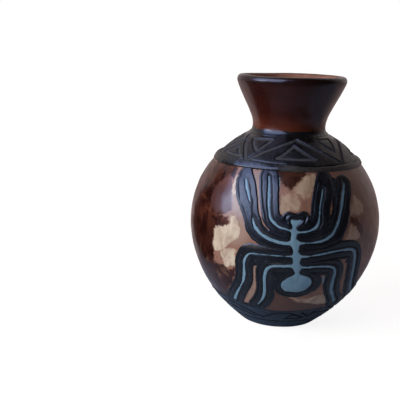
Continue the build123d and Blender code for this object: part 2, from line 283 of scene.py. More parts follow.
# ------------------------------------------------------------------ the painted figure
SPIDER = {
    "front_leg_l": [(-19.4, 138.2, 0.71), (-18.2, 132.2, 0.94), (-17.5, 125, 1.02), (-16.8, 117.7, 0.94), (-16, 111.7, 0.86), (-14.9, 107.3, 0.94), (-12.8, 104.5, 1.09), (-10.2, 101.6, 0.93), (-6.9, 100.3, 0.7), (-2.5, 98.7, 0.93)],
    "second_leg_l": [(-34.8, 134.6, 0.56), (-32.5, 129, 1.03), (-29.8, 122.7, 0.79), (-28, 117.6, 0.15), (-26.5, 111.8, -0.8), (-25.1, 105.5, 0.45), (-23.9, 101.3, 1.1), (-22, 97.7, 1.26), (-19.3, 94.6, 1.25), (-15.8, 92.1, 1.25), (-11.9, 90.2, 1.25), (-7.6, 89.2, 1.25), (-2.2, 89.3, 1.56)],
    "third_leg_l": [(-1.2, 78.7, 0.78), (-6.1, 78.4, 0.4), (-11.6, 78.5, 0.43), (-17.1, 78.5, 0.4), (-21.1, 78.4, 0.4), (-25.5, 78, 0.63), (-27.8, 75.2, 0.96), (-29.3, 70.4, 0.96), (-29.8, 64, 0.96), (-30.1, 57.5, 1.05), (-31.4, 51.5, 0.89), (-34, 45.9, 0.57), (-37.8, 39.1, 0.75), (-43.9, 29.6, 1.35)],
    "hind_leg_l": [(-0.7, 70.1, 1.26), (-5.8, 69.9, 1.1), (-10.2, 69.6, 1.1), (-13.6, 68.6, 1.27), (-15.7, 66.1, 1.51), (-16.9, 61.4, 1.43), (-17.3, 53.8, 1.2), (-17.3, 46, 1.21), (-18.2, 39.6, 1.14), (-20.4, 34.2, 0.82), (-23.7, 29.5, 0.41)],
    "front_leg_r": [(16.1, 130.4, 0.4), (14.6, 124.6, 0.7), (13.2, 118.8, 0.55), (12.5, 112.9, 0.4), (12, 108.3, 0.62), (11.4, 104.5, 1.01), (10.1, 101.8, 1.17), (6.9, 99.5, 0.7), (3, 98.3, 0.54), (-0.3, 98, 0.78)],
    "second_leg_r": [(33.2, 133.2, 0.72), (30.7, 127.2, 1.35), (28.1, 120, 1.42), (26.2, 113.4, 1.1), (24.7, 107.4, 1.1), (23.1, 102.2, 1.26), (20.9, 96.9, 1.26), (17.5, 92.9, 1.26), (13.4, 90.7, 0.94), (8.3, 89.8, 0.62), (3.3, 89.5, 0.7), (0, 89.3, 1.56)],
    "third_leg_r": [(1.6, 78.5, 0.94), (6.1, 78.4, 0.71), (11.2, 79.3, 0.71), (16.4, 80.2, 0.71), (22, 81.3, 0.79), (28.1, 81.8, 0.96), (33.3, 81.4, 1.12), (36.7, 79.6, 1.45), (38.4, 75.6, 1.6), (39.6, 70, 1.6), (40.7, 63.3, 1.5), (42.3, 56.3, 1.5), (44.7, 49.8, 1.6), (48.3, 43.6, 1.6), (55.2, 36.6, 1.54)],
    "hind_leg_r": [(2.2, 69.2, 0.95), (7.4, 68.9, 0.75), (12.1, 69.2, 0.75), (17.9, 68.9, 0.8), (22.3, 67.9, 1.05), (25.0, 65.2, 1.4), (26.0, 60.3, 1.45), (26.2, 55.5, 1.45), (27.0, 49.6, 1.75), (28.8, 44.1, 1.55), (33.0, 37.9, 1.3), (39.8, 30.4, 1.43)],
    "trunk": [(-1.6, 104.6, 1.2), (-1.65, 102.4, 1.0), (-1.75, 100, 1.5), (-1.95, 97.8, 1.9), (-2.1, 95, 1.95), (-2, 92.6, 1.95), (-1.4, 89.5, 2.5), (-0.8, 87.2, 2.6), (-0.45, 85, 2.5), (-0.4, 83, 1.9), (-0.1, 81, 2.3), (0.2, 78.6, 2.8), (0.4, 75.4, 2.9), (0.45, 72.8, 2.6), (0.9, 69.6, 3.0), (1.25, 67, 2.5), (1.5, 65, 1.85), (1.65, 63.8, 1.5), (1.9, 62.2, 1.6)],
    "head": [(-3.3, 106.7, 1.05), (-2.5, 105.6, 1.7), (-1.2, 105.4, 1.8), (0.2, 106.1, 1.45), (1.3, 106.9, 0.9)],
    "abdomen": [(1.9, 60.6, 1.7), (-0.4, 56.4, 4.8), (-2.4, 52.4, 6.2), (0.4, 52.2, 6.8), (2.8, 52.2, 7.0), (5.4, 53.1, 6.7), (7.3, 55.2, 5.5), (5, 57.6, 4.2), (2.5, 59.8, 2.2)],
}
BORDER_ONLY = {  # dark slip that spreads past the even border; half widths are less its 7 mm
    "front_leg_r_top": [(16.1, 130.7, 0.0), (17.4, 134.4, 0.0), (19.0, 138.1, 0.0)],
    "front_leg_r_side": [(18.9, 135.2, -0.3), (18.0, 129.6, -0.2), (16.8, 122.3, -0.3), (15.2, 113.5, -0.8)],
    "between_legs_r": [(25.7, 136.1, -4.2), (24.3, 131.1, -4.0), (22.8, 125.6, -4.2)],
    "between_legs_r_low": [(18.6, 108.6, -4.8), (17.6, 105.6, -4.6)],
    "second_leg_r_side": [(28.4, 112.8, -0.1), (27.0, 107.6, -0.1), (25.6, 103.2, -0.1), (24.0, 99.2, -0.1), (23.1, 95.9, 0.0), (22.2, 91.8, 0.0)],
    "front_leg_l_top": [(-19.6, 138.5, -0.4), (-19.9, 141.0, -0.4)],
    "second_leg_l_top": [(-34.9, 134.6, -0.1), (-36.2, 138.5, -0.1)],
    "second_leg_l_side": [(-36.3, 133.9, -0.1), (-34.9, 128.6, -0.1), (-33.1, 123.4, -0.1), (-31.2, 119.3, -0.1), (-28.5, 113.8, -0.1), (-26.6, 108.9, -0.1), (-25.4, 104.2, -0.1)],
    "third_leg_l_top": [(-21.0, 79.5, -0.1), (-24.6, 79.7, -0.1), (-26.6, 79.0, -0.1), (-28.2, 77.2, -0.1), (-29.3, 73.5, -0.1)],
    "third_leg_l_inner": [(-23.4, 69.8, -4.6), (-21.2, 70.6, -4.8), (-19.6, 71.0, -4.8)],
    "leg_ends_l": [(-39.5, 24.2, -3.6), (-33.0, 25.8, -3.4), (-28.0, 26.2, -4.2)],
    "hind_leg_l_inner": [(-11.2, 61.8, -4.4), (-9.6, 59.4, -4.8)],
    "abdomen_side": [(12.4, 57.8, -0.7), (13.5, 54.4, -0.5), (12.3, 51.2, -0.7)],
    "third_leg_r_inner": [(32.8, 73.0, -6.0), (32.2, 70.6, -6.2)],
    "lobe_l": [(-5.2, 108.8, -1.9), (-5.1, 108.9, -1.9)],
    "lobe_r": [(3.0, 109.0, -1.9), (3.1, 109.1, -1.9)],
}
TRIM = {"head": 1.5, "abdomen": 1.0}  # where the border is narrower
CLEAR = {  # slivers of bare clay that the border leaves open
    "between_legs_l": [(-30.1, 141.6, 2.4), (-28.0, 137.6, 1.8), (-25.9, 132.5, 1.25), (-24.1, 125.6, 1.0), (-22.6, 118.5, 0.95), (-21.3, 111.4, 0.9), (-20.0, 106.0, 0.8), (-18.5, 102.4, 0.7), (-16.1, 98.9, 0.35)],
    "between_legs_r": [(21.4, 122.5, 0.3), (20.9, 120.6, 0.55), (20.2, 117.6, 0.6), (19.6, 114.1, 0.55), (19.1, 111.5, 0.3)],
    "between_hind_l": [(-22.8, 66.4, 0.6), (-23.3, 62.4, 0.95), (-23.3, 57.4, 1.1), (-23.5, 51.8, 1.35), (-24.4, 46.9, 1.85), (-26.6, 41.4, 2.2), (-29.5, 36.0, 2.2), (-33.0, 30.9, 1.6)],
    "between_hind_r": [(33.2, 54.0, 1.2), (35.4, 49.0, 1.45), (38.1, 43.3, 1.4), (42.1, 38.1, 1.3)],
    "hind_leg_r_side": [(19.5, 49.3, 1.1), (20.5, 45.7, 1.4), (22.5, 41.4, 1.5), (25.6, 36.1, 1.7), (29.6, 30.3, 1.8)],
}
WEB = 1.0  # how far the light slip rounds the corners where its strokes meet
EYES = [(-5.2, 108.9), (3.1, 109.0)]  # rounded lobes of the border over the head
OUTLINE = 7.0
Z_BEAD = 142.4  # the shoulder band's lower edge
FOOT_LINE = [(-180, 27), (-140, 27.5), (-100, 28.5), (-75, 29.5), (-60, 29.5), (-45, 27.3), (-31, 25.4), (-15, 24.5), (0, 24.1), (20, 24.7), (35, 25.7), (49, 27.2), (70, 28), (110, 27), (150, 26.5), (180, 27)]


def foot_line(angle):
    """Height of the foot band's upper edge round the pot."""
    a = (np.asarray(angle, float) + 180) % 360 - 180
    f = np.array(FOOT_LINE, float)
    fine = np.linspace(-180, 180, 721)
    y = np.interp(fine, f[:, 0], f[:, 1])
    k = np.hanning(25) / np.hanning(25).sum()
    y = np.convolve(np.r_[y[-13:-1], y, y[1:13]], k, mode="valid")
    return np.interp(a, fine, y)


def stroke_points(points, pitch=0.4):
    p = np.array(points, float)
    q = np.concatenate([[2 * p[0] - p[1]], p, [2 * p[-1] - p[-2]]])
    got = []
    for i in range(1, len(q) - 2):
        a, b, c, d = q[i - 1 : i + 3]
        span = math.hypot((c[0] - b[0]) * 1.4, c[1] - b[1])
        t = np.linspace(0, 1, max(2, int(span / pitch)), endpoint=False)[:, None]
        got.append(0.5 * (2 * b + (c - a) * t + (2 * a - 5 * b + 4 * c - d) * t**2 + (3 * b - a - 3 * c + d) * t**3))
    got.append(p[-1:])
    return np.concatenate(got)


def figure_field(angle, z):
    """For each point: distance outside the light slip, side of the nearest stroke (right and above are over 0),
    gap to the next stroke, and distance outside the dark border."""
    shape = angle.shape
    a, zz = angle.ravel(), z.ravel()
    p = xyz(radius_at(zz), a, zz)
    first = np.full(len(p), 30.0)
    second = np.full(len(p), 40.0)
    side = np.zeros(len(p))
    webbed = np.zeros(len(p))
    edge = np.full(len(p), 30.0)
    ea = np.radians(a)
    east = np.stack([0.8 * np.cos(ea), 0.8 * np.sin(ea), 0 * ea + 0.6], axis=1)
    strokes = [("light", n, pts) for n, pts in SPIDER.items()] + [("dark", n, pts) for n, pts in BORDER_ONLY.items()] + [("bare", n, pts) for n, pts in CLEAR.items()]
    for kind, name, pts in strokes:
        st = stroke_points(pts)
        q, w = xyz(radius_at(st[:, 1]), st[:, 0], st[:, 1]), st[:, 2]
        near = np.flatnonzero((a > st[:, 0].min() - 18) & (a < st[:, 0].max() + 18) & (zz > st[:, 1].min() - 18) & (zz < st[:, 1].max() + 18))
        for c in range(0, len(near), 3000):
            ix = near[c : c + 3000]
            v = p[ix, None] - q[None]
            d = np.sqrt((v * v).sum(axis=2))
            best = np.argmin(d - w[None], axis=1)
            n = np.arange(len(ix))
            dist = d[n, best] - w[best]
            if kind == "bare":
                edge[ix] = np.maximum(edge[ix], -dist)
                continue
            edge[ix] = np.minimum(edge[ix], dist - OUTLINE + TRIM.get(name, 0.0))
            if kind == "dark":
                continue
            webbed[ix] += np.exp(-np.minimum(dist, 25.0) / WEB)
            e = (v[n, best] * east[ix]).sum(axis=1) / np.maximum(d[n, best], 0.3)
            closer = dist < first[ix]
            second[ix] = np.where(closer, first[ix], np.minimum(second[ix], dist))
            side[ix] = np.where(closer, e, side[ix])
            first[ix] = np.where(closer, dist, first[ix])
    wob = 0.14 * waves(3, 9)(p) + 0.08 * waves(4, 3.5)(p)
    light = np.where(webbed > 1e-10, -WEB * np.log(np.maximum(webbed, 1e-12)), first)
    return (light + wob).reshape(shape), side.reshape(shape), (second - first).reshape(shape), (edge + wob).reshape(shape)


# ------------------------------------------------------------------ cloud patches of the belly, (angle, height)
CREAM = [
    [(-40.1, 104.3), (-37.4, 106.4), (-34.6, 102.8), (-31.4, 96.7), (-32, 91.3), (-35.8, 86.9), (-39.4, 83.1), (-42.6, 77.4), (-46.7, 73.6), (-50.4, 73.7), (-51.7, 79), (-50.1, 85.7), (-50.5, 91.9), (-46.7, 95), (-40.9, 95.9), (-39.4, 99.9)],
    [(-46.7, 73.4), (-42.7, 77.2), (-38.4, 79.6), (-33.4, 78.9), (-35, 72.9), (-35.8, 66.2), (-41.5, 60.8), (-43.8, 63.4), (-45.7, 69.1)],
    [(1.5, 135.5), (6.3, 139), (12.6, 141.4), (13, 138.2), (10, 129.9), (8, 124.7), (3.1, 123.7), (0.2, 125.9), (-3.4, 128.4), (-2.6, 131.1)],
    [(-10.3, 126), (-7.2, 127.9), (-2.6, 128.3), (0.1, 125.1), (1.1, 119.4), (-0.5, 114.9), (-4.8, 114.2), (-9, 111.9), (-10.5, 115.9)],
    [(-43.4, 136), (-40.8, 134.8), (-39.3, 128.7), (-38.4, 121.7), (-40.9, 120.8), (-42.7, 129.1)],
    [(-0.6, 40.4), (7.0, 38.6), (14.0, 38.4), (17.9, 41), (24.3, 41), (31.5, 30.0), (23.3, 31.0), (15.6, 33.4), (5.6, 36.0)],
]
TAN = [
    [(38.5, 123.7), (42.7, 120.4), (46.0, 115.2), (44.8, 110.0), (40.2, 107.9), (35.6, 110.0), (32.4, 109.6), (35.3, 115.8), (37.3, 119.7)],
    [(33.4, 101.3), (36.8, 98.3), (40.2, 93.2), (39.7, 89.6), (35.1, 88.6), (29.5, 90.4), (31.3, 96.0)],
]
DARK = [
    [(-14.1, 143), (7.1, 143), (3.6, 137.7), (-0.1, 134.5), (-1.2, 131.5), (-3.8, 129.5), (-5.2, 128.3), (-7.4, 131.4), (-10.9, 134.9), (-12.8, 138.3)],
    [(-14.6, 45.3), (-10.5, 48.1), (-6.1, 43.7), (-0.6, 40.3), (4.6, 34.9), (3.0, 20), (-20, 20), (-14.7, 37.4)],
    [(33.4, 107.4), (36.6, 106.4), (40.4, 102.4), (43.6, 97.5), (43.0, 91.8), (40.4, 93.2), (37.2, 98.4), (33.6, 103.2)],
    [(-1, 38), (5.0, 34.9), (10.2, 33.4), (21.7, 30.8), (31, 29.6), (32, 20), (12, 20), (-4, 20)],
]
RUST = [
    [(-44.9, 143), (-43.1, 133.1), (-48.8, 134.1), (-52.3, 131.4), (-57.4, 128.3), (-57.8, 119.7), (-56.1, 111.6), (-52.1, 105.3), (-44, 105.3), (-40.5, 104.4), (-39.6, 100), (-41.1, 96.1), (-46.7, 95.2), (-50.8, 92), (-50.5, 85.6), (-52.1, 78.9), (-50.9, 73.6), (-52.3, 62.6), (-48.1, 62.2), (-43.9, 62.9), (-41.2, 60.4), (-35.5, 62.2), (-36.7, 57), (-41.5, 46.7), (-47.1, 36.9), (-50, 22), (-108, 22), (-117, 34), (-110, 47), (-124, 58), (-115, 73), (-127, 85), (-113, 97), (-120, 111), (-107, 121), (-113, 133), (-103, 143)],
]
PALE = [
    [(-41, 134), (-34, 134), (-29, 112), (-27, 100), (-25, 93), (-29, 84), (-35, 82), (-40, 86), (-33, 97), (-37, 107), (-44, 107), (-47, 112), (-46, 120), (-43, 128)],
    [(-33, 143), (-26, 143), (-22.5, 126), (-20, 110), (-15, 98), (-18, 98), (-23, 110), (-26.5, 126)],
    [(-25, 69), (-20.5, 69), (-20.5, 50), (-24, 40), (-30, 28), (-37, 28), (-31, 39), (-26.5, 50)],
]
HAZE = [[(-48, 140), (-45, 132), (-42.4, 125.5), (-40.4, 118), (-39.0, 110.5), (-43, 106), (-52, 102), (-64, 106), (-68, 125), (-62, 140)]]
SPILL = [  # small runs of the light slip beside its border
    [(-13.2, 138.4), (-11.8, 137.8), (-11.3, 133.5), (-12.0, 130.4), (-12.9, 134.0)],
    [(17.6, 60.1), (19.0, 59.5), (20.5, 53.6), (19.4, 52.6)],
]


# the far side carries the same kind of clouds, where smooth fields pass these levels: (wave size, seed, level, slope)
FAR = {"cream": (44, 61, 1.12, 20), "dark": (36, 72, 1.12, 16), "rust": (54, 83, 0.46, 26), "tan": (38, 94, 1.16, 16)}


def far_clouds(key, angle, r, z):
    """Like patch_distance, for the clouds behind; far away from them in front."""
    if key not in FAR:
        return np.full(angle.shape, 40.0)
    size, seed, level, slope = FAR[key]
    p = xyz(r, angle, z * 0.9)
    f = waves(seed, size)(p) + 0.30 * waves(seed + 1, size * 0.33)(p) + 0.10 * waves(seed + 2, size * 0.12)(p)
    front = (1 - step(angle, 58, 74)) * (1 - step(-angle, 104, 124))
    return (level - f) * slope + 40 * front


def patch_distance(polys, angle, z):
    """Signed distance in mm to the nearest patch, below 0 inside it."""
    best = np.full(angle.shape, 40.0)
    for poly in polys:
        q = np.array(poly, float)
        mid = q[:, 0].mean()
        k = 78 * math.pi / 180
        x = (((angle - mid + 180) % 360) - 180) * k
        qx, qz = (q[:, 0] - mid) * k, q[:, 1]
        near = (x > qx.min() - 25) & (x < qx.max() + 25) & (z > qz.min() - 25) & (z < qz.max() + 25)
        px, pz = x[near], z[near]
        d = np.full(px.shape, 1e9)
        odd = np.zeros(px.shape, bool)
        for i in range(len(q)):
            ax, az = qx[i], qz[i]
            bx, bz = qx[(i + 1) % len(q)], qz[(i + 1) % len(q)]
            ex, ez = bx - ax, bz - az
            t = np.clip(((px - ax) * ex + (pz - az) * ez) / (ex * ex + ez * ez + 1e-9), 0, 1)
            d = np.minimum(d, np.hypot(px - ax - t * ex, pz - az - t * ez))
            if abs(ez) > 1e-9:
                odd ^= ((az > pz) != (bz > pz)) & (px < ax + (pz - az) / ez * ex)
        best[near] = np.minimum(best[near], np.where(odd, -d, d))
    return best


# ------------------------------------------------------------------ carved lines of the two bands
def carve(angle, z, lines):
    """Depth of cut at each point from (polyline, half width, depth) with polylines of (angle, height)."""
    a, zz = angle.ravel(), z.ravel()
    p = xyz(radius_at(zz), a, zz).astype(np.float32)
    deep = np.zeros(len(p))
    for pts, half, depth in lines:
        q = np.array(pts, float)
        seg = []
        for i in range(len(q) - 1):
            n = max(3, int(math.hypot((q[i + 1, 0] - q[i, 0]) * 0.9, q[i + 1, 1] - q[i, 1]) / 0.45))
            seg.append(q[i] + (q[i + 1] - q[i]) * np.linspace(0, 1, n, endpoint=False)[:, None])
        seg.append(q[-1:])
        c = np.concatenate(seg)
        mid = (c[:, 0].min() + c[:, 0].max()) / 2
        rel = ((a - mid + 180) % 360) - 180
        reach = (c[:, 0].max() - c[:, 0].min()) / 2 + 8
        near = np.flatnonzero((np.abs(rel) < reach) & (zz > c[:, 1].min() - 4) & (zz < c[:, 1].max() + 4))
        w = xyz(radius_at(c[:, 1]), c[:, 0], c[:, 1]).astype(np.float32)
        for k in range(0, len(near), 6000):
            ix = near[k : k + 6000]
            d = np.sqrt(((p[ix, None] - w[None]) ** 2).sum(axis=2).min(axis=1))
            deep[ix] = np.maximum(deep[ix], depth * np.clip(1 - (d / half) ** 3, 0, 1))
    return deep.reshape(angle.shape)


# carved zigzag of the shoulder, as (angle, height) runs, and the triangles in its fields
ZIGZAG = [
    ([(-94, 148.0), (-88, 151.5), (-80, 155.9), (-70, 160.6), (-66, 162.6)], 1.45),
    ([(-43.2, 148.4), (-49.1, 153.8), (-56.7, 158.4), (-63.7, 161.7), (-73.7, 164.8)], 1.5),
    ([(-1.4, 163.5), (-13.9, 160.6), (-24.8, 156.9), (-32.6, 153.5), (-40.6, 148.3)], 1.6),
    ([(1.8, 164.2), (14.5, 160.2), (24.6, 156.1)], 1.9),
    ([(24.6, 156.1), (33.7, 151.2), (41.2, 146.6)], 1.35),
    ([(41.8, 146.9), (46.8, 152.1), (56.1, 157.2), (72.3, 161.8), (84, 164.0)], 1.5),
    ([(85, 164.0), (97, 160.4), (112, 154.6), (127, 147.6)], 1.6),
    ([(127.5, 147.6), (139, 154.4), (151, 160.2), (162, 163.9)], 1.55),
    ([(162.5, 163.9), (174, 160.0), (186, 154.2), (197, 147.8)], 1.6),
    ([(197.5, 147.8), (209, 154.0), (221, 160.0), (232, 163.8)], 1.55),
    ([(232.5, 163.8), (244, 160.2), (256, 154.0), (266, 148.0)], 1.6),
]
TRIANGLES = [  # hanging from the neck, then standing on the bead
    ([(-53, 162.8), (-27.8, 163.4), (-37.4, 155.0)], 1.55),
    ([(29.3, 164.0), (53.0, 163.7), (41.0, 155.5)], 1.25),
    ([(115, 163.3), (139, 163.4), (127.5, 155.2)], 1.45),
    ([(185, 163.4), (209, 163.2), (196.5, 155.4)], 1.45),
    ([(255, 163.3), (277, 163.4), (266, 155.2)], 1.4),
    ([(-2.1, 160.0), (-16.6, 151.2), (16.2, 151.1)], 1.65),
    ([(-63.0, 156.1), (-77.2, 150.6), (-50.2, 149.9)], 1.45),
    ([(84.3, 159.4), (68.5, 151.2), (100.5, 150.9)], 1.6),
    ([(162.0, 159.5), (146.5, 151.0), (177.0, 151.2)], 1.6),
    ([(232.0, 159.3), (217.5, 151.2), (247.5, 150.8)], 1.6),
]


def bead_groove(angle):
    """Height of the cut over the bead, and how deep it is, round the pot."""
    a = (np.asarray(angle, float) + 180) % 360 - 180
    at = np.interp(a, [-180, -60, -30, -8, 6, 20, 50, 110, 180], [146.4, 148.2, 147.9, 147.0, 146.0, 145.7, 146.2, 146.4, 146.4])
    deep = np.interp(a, [-180, -120, -50, -12, 4, 34, 46, 90, 180], [0.7, 0.6, 0.35, 0.45, 1.0, 1.05, 0.6, 0.7, 0.7])
    return at, deep


def shoulder_lines():
    lines = [(pts, half + 0.35, 0.55 * half) for pts, half in ZIGZAG]
    lines += [(pts + pts[:1], half + 0.35, 0.55 * half) for pts, half in TRIANGLES]
    return lines


FOOT_CUTS = [  # one quarter of the foot band: slanting lines and a triangle inside a larger one
    [(-66, 20.6), (-55, 20.0), (-44.4, 18.4), (-29, 14.6)],
    [(-53, 25.2), (-45.9, 23.6), (-33.7, 19.9), (-21.9, 14.9)],
    [(-21.9, 14.9), (-15, 18.4), (-9.1, 21.6)],
    [(-9.1, 21.6), (3.3, 21.8), (17.1, 15.6)],
    [(-0.2, 14.7), (14.0, 14.2), (14.4, 16.2), (5.5, 19.6), (-0.2, 14.7)],
    [(13.4, 21.8), (21.4, 16.6), (26.0, 22.0)],
]


def foot_lines():
    lines = [([(a + turn, z) for a, z in pts], 0.95, 0.7) for turn in (0, 90, 180, 270) for pts in FOOT_CUTS]
    ring = [(x, 10.8 + 0.4 * math.sin(x / 31.0)) for x in range(-180, 181, 6)]
    for k in range(0, 60, 6):
        lines.append((ring[k : k + 7], 0.9, 0.6))
    return lines


# ------------------------------------------------------------------ pieces
def cols_of(n):
    return np.linspace(-180, 180, n, endpoint=False)


hand = waves(21, 60)
hand_small = waves(22, 14)


def hand_made(r, angle, z):
    p = xyz(r, angle, z)
    return 0.22 * hand(p) + 0.05 * hand_small(p)


def revolved(name, angle, outer, inner, outer_h=None, attrs=None):
    """A closed wall: rows of path lengths outside, then inside. outer_h gives extra height over (angle, s)."""
    n = len(angle)
    s = np.r_[outer, inner]
    r, z, nr, nz = (np.repeat(c[:, None], n, axis=1) for c in on_path(s))
    ang = np.repeat(angle[None], len(s), axis=0)
    h = hand_made(r, ang, z)
    if outer_h is not None:
        h[: len(outer)] += outer_h(ang[: len(outer)], r[: len(outer)], z[: len(outer)])
    rr, zz = r + nr * h, z + nz * h
    a = attrs(ang, r, z) if attrs else None
    return ring_mesh(name, angle, rr, zz, a), (ang, rr, zz)


def blend_rows(*stops):
    """Path lengths from (start, end, spacing) runs."""
    got = []
    for a, b, d in stops:
        n = max(2, int(round(abs(b - a) / d)) + 1)
        got.append(np.linspace(a, b, n))
    return np.concatenate(got)


SPLIT_RIM, SPLIT_NECK = 208.4, 167.4

# lip
lip, _ = revolved(
    "lip", cols_of(288),
    blend_rows((s_out(SPLIT_RIM), PS[TOP], 0.7))[:-1],
    blend_rows((PS[TOP], s_in(SPLIT_RIM), 0.8)),
    outer_h=lambda a, r, z: -0.10 * np.exp(-(((z - SPLIT_RIM) / 1.6) ** 2)),
)
# neck
neck, _ = revolved(
    "neck", cols_of(288),
    blend_rows((s_out(SPLIT_NECK), s_out(SPLIT_RIM), 0.8)),
    blend_rows((s_in(SPLIT_RIM), s_in(SPLIT_NECK), 2.0)),
    outer_h=lambda a, r, z: -0.10 * np.exp(-(((z - SPLIT_RIM) / 1.6) ** 2)),
)


# belly, let in under the bands and the figure
def belly_height(a, r, z):
    h = -2.0 * step(z, Z_BEAD + 0.1, Z_BEAD + 1.2)
    line = foot_line(a)
    h = np.minimum(h, -1.7 * step(line - z, 0.1, 1.2))
    front = (np.abs(a - 3) < 66) & (z > 22) & (z < 144)
    d = np.full(a.shape, 30.0)
    d[front] = figure_field(a[front], z[front])[3]
    return np.minimum(h, -1.75 * step(-d, 0.25, 0.95))


def belly_attrs(a, r, z):
    return {k: np.minimum(patch_distance(v, a, z), far_clouds(k, a, r, z)) for k, v in (("cream", CREAM), ("tan", TAN), ("dark", DARK), ("rust", RUST), ("pale", PALE), ("haze", HAZE), ("spill", SPILL))}


belly, _ = revolved(
    "belly", np.r_[np.arange(-180, -56, 1.0), np.arange(-56, 70, 0.36), np.arange(70, 180, 1.0)],
    blend_rows((s_out(9.9), s_out(23.0), 2.2), (s_out(23.4), s_out(144.0), 0.55), (s_out(145), s_out(166.4), 2.4)),
    blend_rows((s_in(166.4), s_in(10.0), 7.0)),
    outer_h=belly_height, attrs=belly_attrs,
)


def band(name, n, s_rows, height, depth, dust):
    angle = cols_of(n)
    ang = np.repeat(angle[None], len(s_rows), axis=0)
    s = s_rows if s_rows.ndim == 2 else np.repeat(s_rows[:, None], n, axis=1)
    r, z, nr, nz = on_path(s)
    base = hand_made(r, ang, z)
    h = base + height(ang, r, z)
    back = slice(None, None, -max(1, len(s_rows) // 6))
    rb, zb = r[back], z[back]
    hb = base[back] - depth
    r2 = np.concatenate([r + nr * h, rb + nr[back] * hb])
    z2 = np.concatenate([z + nz * h, zb + nz[back] * hb])
    attrs = {k: np.concatenate([v, 0 * rb]) for k, v in dust(ang, z).items()}
    return ring_mesh(name, angle, r2, z2, attrs, sharp_deg=60.0)


def shoulder_height(a, r, z):
    cut = carve(a, z, shoulder_lines())
    p = xyz(r, a, z)
    at, deep = bead_groove(a)
    u = np.clip((z - Z_BEAD + 0.15) / (at - 0.2 - Z_BEAD + 0.15), 0, 1)
    bead = np.sqrt(np.clip(1 - np.where(u < 0.84, (0.84 - u) / 0.84, (u - 0.84) / 0.16) ** 2, 0, 1))
    h = 0.30 + 1.6 * bead - cut
    h -= deep * np.exp(-(((z - at) / 0.55) ** 2))
    h -= 0.35 * np.exp(-(((z - 165.6) / 0.6) ** 2))
    h += 0.07 * waves(31, 9)(p) + 0.025 * waves(32, 3.5)(p)
    return h - 0.40 * step(z, 166.2, 168)


def shoulder_dust(a, z):
    at, _ = bead_groove(a)
    lines = [(pts, half, 1.0) for pts, half, _ in shoulder_lines()]
    return {"groove": carve(a, z, lines), "worn": (0.8 * step(a, -20, -4) + 0.2 * step(a, 20, 40)) * (1 - step(z, at - 0.3, at + 0.6))}


def foot_dust(a, z):
    return {"groove": carve(a, z, [(pts, half, 1.0) for pts, half, _ in foot_lines()])}


shoulder = band("shoulder_band", 900, blend_rows((s_out(Z_BEAD - 0.15), s_out(SPLIT_NECK + 0.1), 0.42)), shoulder_height, 1.95, shoulder_dust)


def foot_height(a, r, z):
    cut = carve(a, z, foot_lines())
    line = foot_line(a)
    p = xyz(r, a, z)
    lip_ = np.exp(-(((line - z - 0.9) / 0.8) ** 2))
    return 0.15 + 0.25 * lip_ - cut + 0.07 * waves(33, 6)(p)


_ang = cols_of(600)
_t = np.linspace(0, 1, 40)[:, None]
foot_rows = s_out(9.0) + _t * (s_out(foot_line(_ang) + 0.1) - s_out(9.0))[None, :]
foot_band = band("foot_band", 600, foot_rows, foot_height, 1.6, foot_dust)

# foot: worn edge, flat base, inside floor
_base = [(2.0, 0.35), (12.0, 0.3), (22.0, 0.25), (28.5, 0.1), (30.6, 0.0), (31.9, 0.05), (32.8, 0.4)]
_side = [(float(radius_at(z)), z) for z in np.linspace(0.9, 9.2, 13)]
_top = [(35.0, 9.6), (34.0, 9.15), (30.0, 9.0), (15.0, 9.0), (2.0, 9.0)]
_prof = np.array(_base + _side + _top)
_fa = cols_of(288)
fr = np.repeat(_prof[:, :1], len(_fa), axis=1)
fz = np.repeat(_prof[:, 1:], len(_fa), axis=1)
grow = hand_made(fr, np.repeat(_fa[None], len(_prof), axis=0), fz)
k0, k1 = len(_base), len(_base) + len(_side)
fr[k0:k1] += grow[k0:k1] + 0.1
foot = ring_mesh("foot", _fa, fr, fz, poles=(0.35, 9.0), sharp_deg=50.0)

# figure
fig_a = np.arange(-54.0, 66.01, 0.35)
fig_s = np.arange(s_out(23.6), s_out(Z_BEAD) + 0.01, 0.5)
ga, gs = np.meshgrid(fig_a, fig_s)
gr, gz, gnr, gnz = on_path(gs)
dist, side, gap, edge = figure_field(ga, gz)
gp = xyz(gr, ga, gz)
edge_low = foot_line(ga) + 0.25 - gz
limits = np.maximum(edge_low, gz - (Z_BEAD - 0.1))
over, under = step(side, -0.25, 0.45), step(-side, -0.25, 0.45)
drift = 0.25 * waves(41, 14)(gp)
groove = np.maximum(over * np.exp(-(((dist - 1.5 - drift) / 0.85) ** 2)), under * np.exp(-(((-edge - 2.2 - drift) / 0.48) ** 2)))
groove = groove * np.clip(0.9 + 0.25 * waves(42, 12)(gp), 0.4, 1.1) * step(dist, 0.0, 0.8)
valley = np.exp(-((gap / 1.3) ** 2)) * step(dist, 2.8, 4.0)
across = np.clip(dist / np.maximum(dist - edge, 0.5), 0, 1)
crown = 0.14 * (1 - np.abs(2 * across - 1) ** 8) + 0.55 * over * np.clip(across - 0.25, 0, 1) * (1 - step(across, 0.86, 1.0))
soft = 0.35 * np.exp(-((dist / 0.6) ** 2)) + 0.13 * np.exp(-((edge / 0.5) ** 2))
knob = 0 * dist
for ea, ez in EYES:
    d_eye = np.linalg.norm(gp - xyz(radius_at(ez), ea, ez), axis=-1)
    lobe = 1 - step(d_eye, 4.2, 6.2)
    groove, valley = groove * (1 - lobe), valley * (1 - lobe)
    rolls = 0.30 * np.clip(1 - ((-edge - 1.2) / 1.3) ** 2, 0, 1) + 0.34 * np.clip(1 - ((dist - 1.9) / 1.5) ** 2, 0, 1)
    knob = knob + lobe * (rolls - 0.42 * np.exp(-(((-edge - 2.8) / 0.65) ** 2)))
near_trunk = step(np.hypot((ga - 0.4) * 1.42, np.clip(np.abs(gz - 84) - 22, 0, None)), 6.5, 11.0)
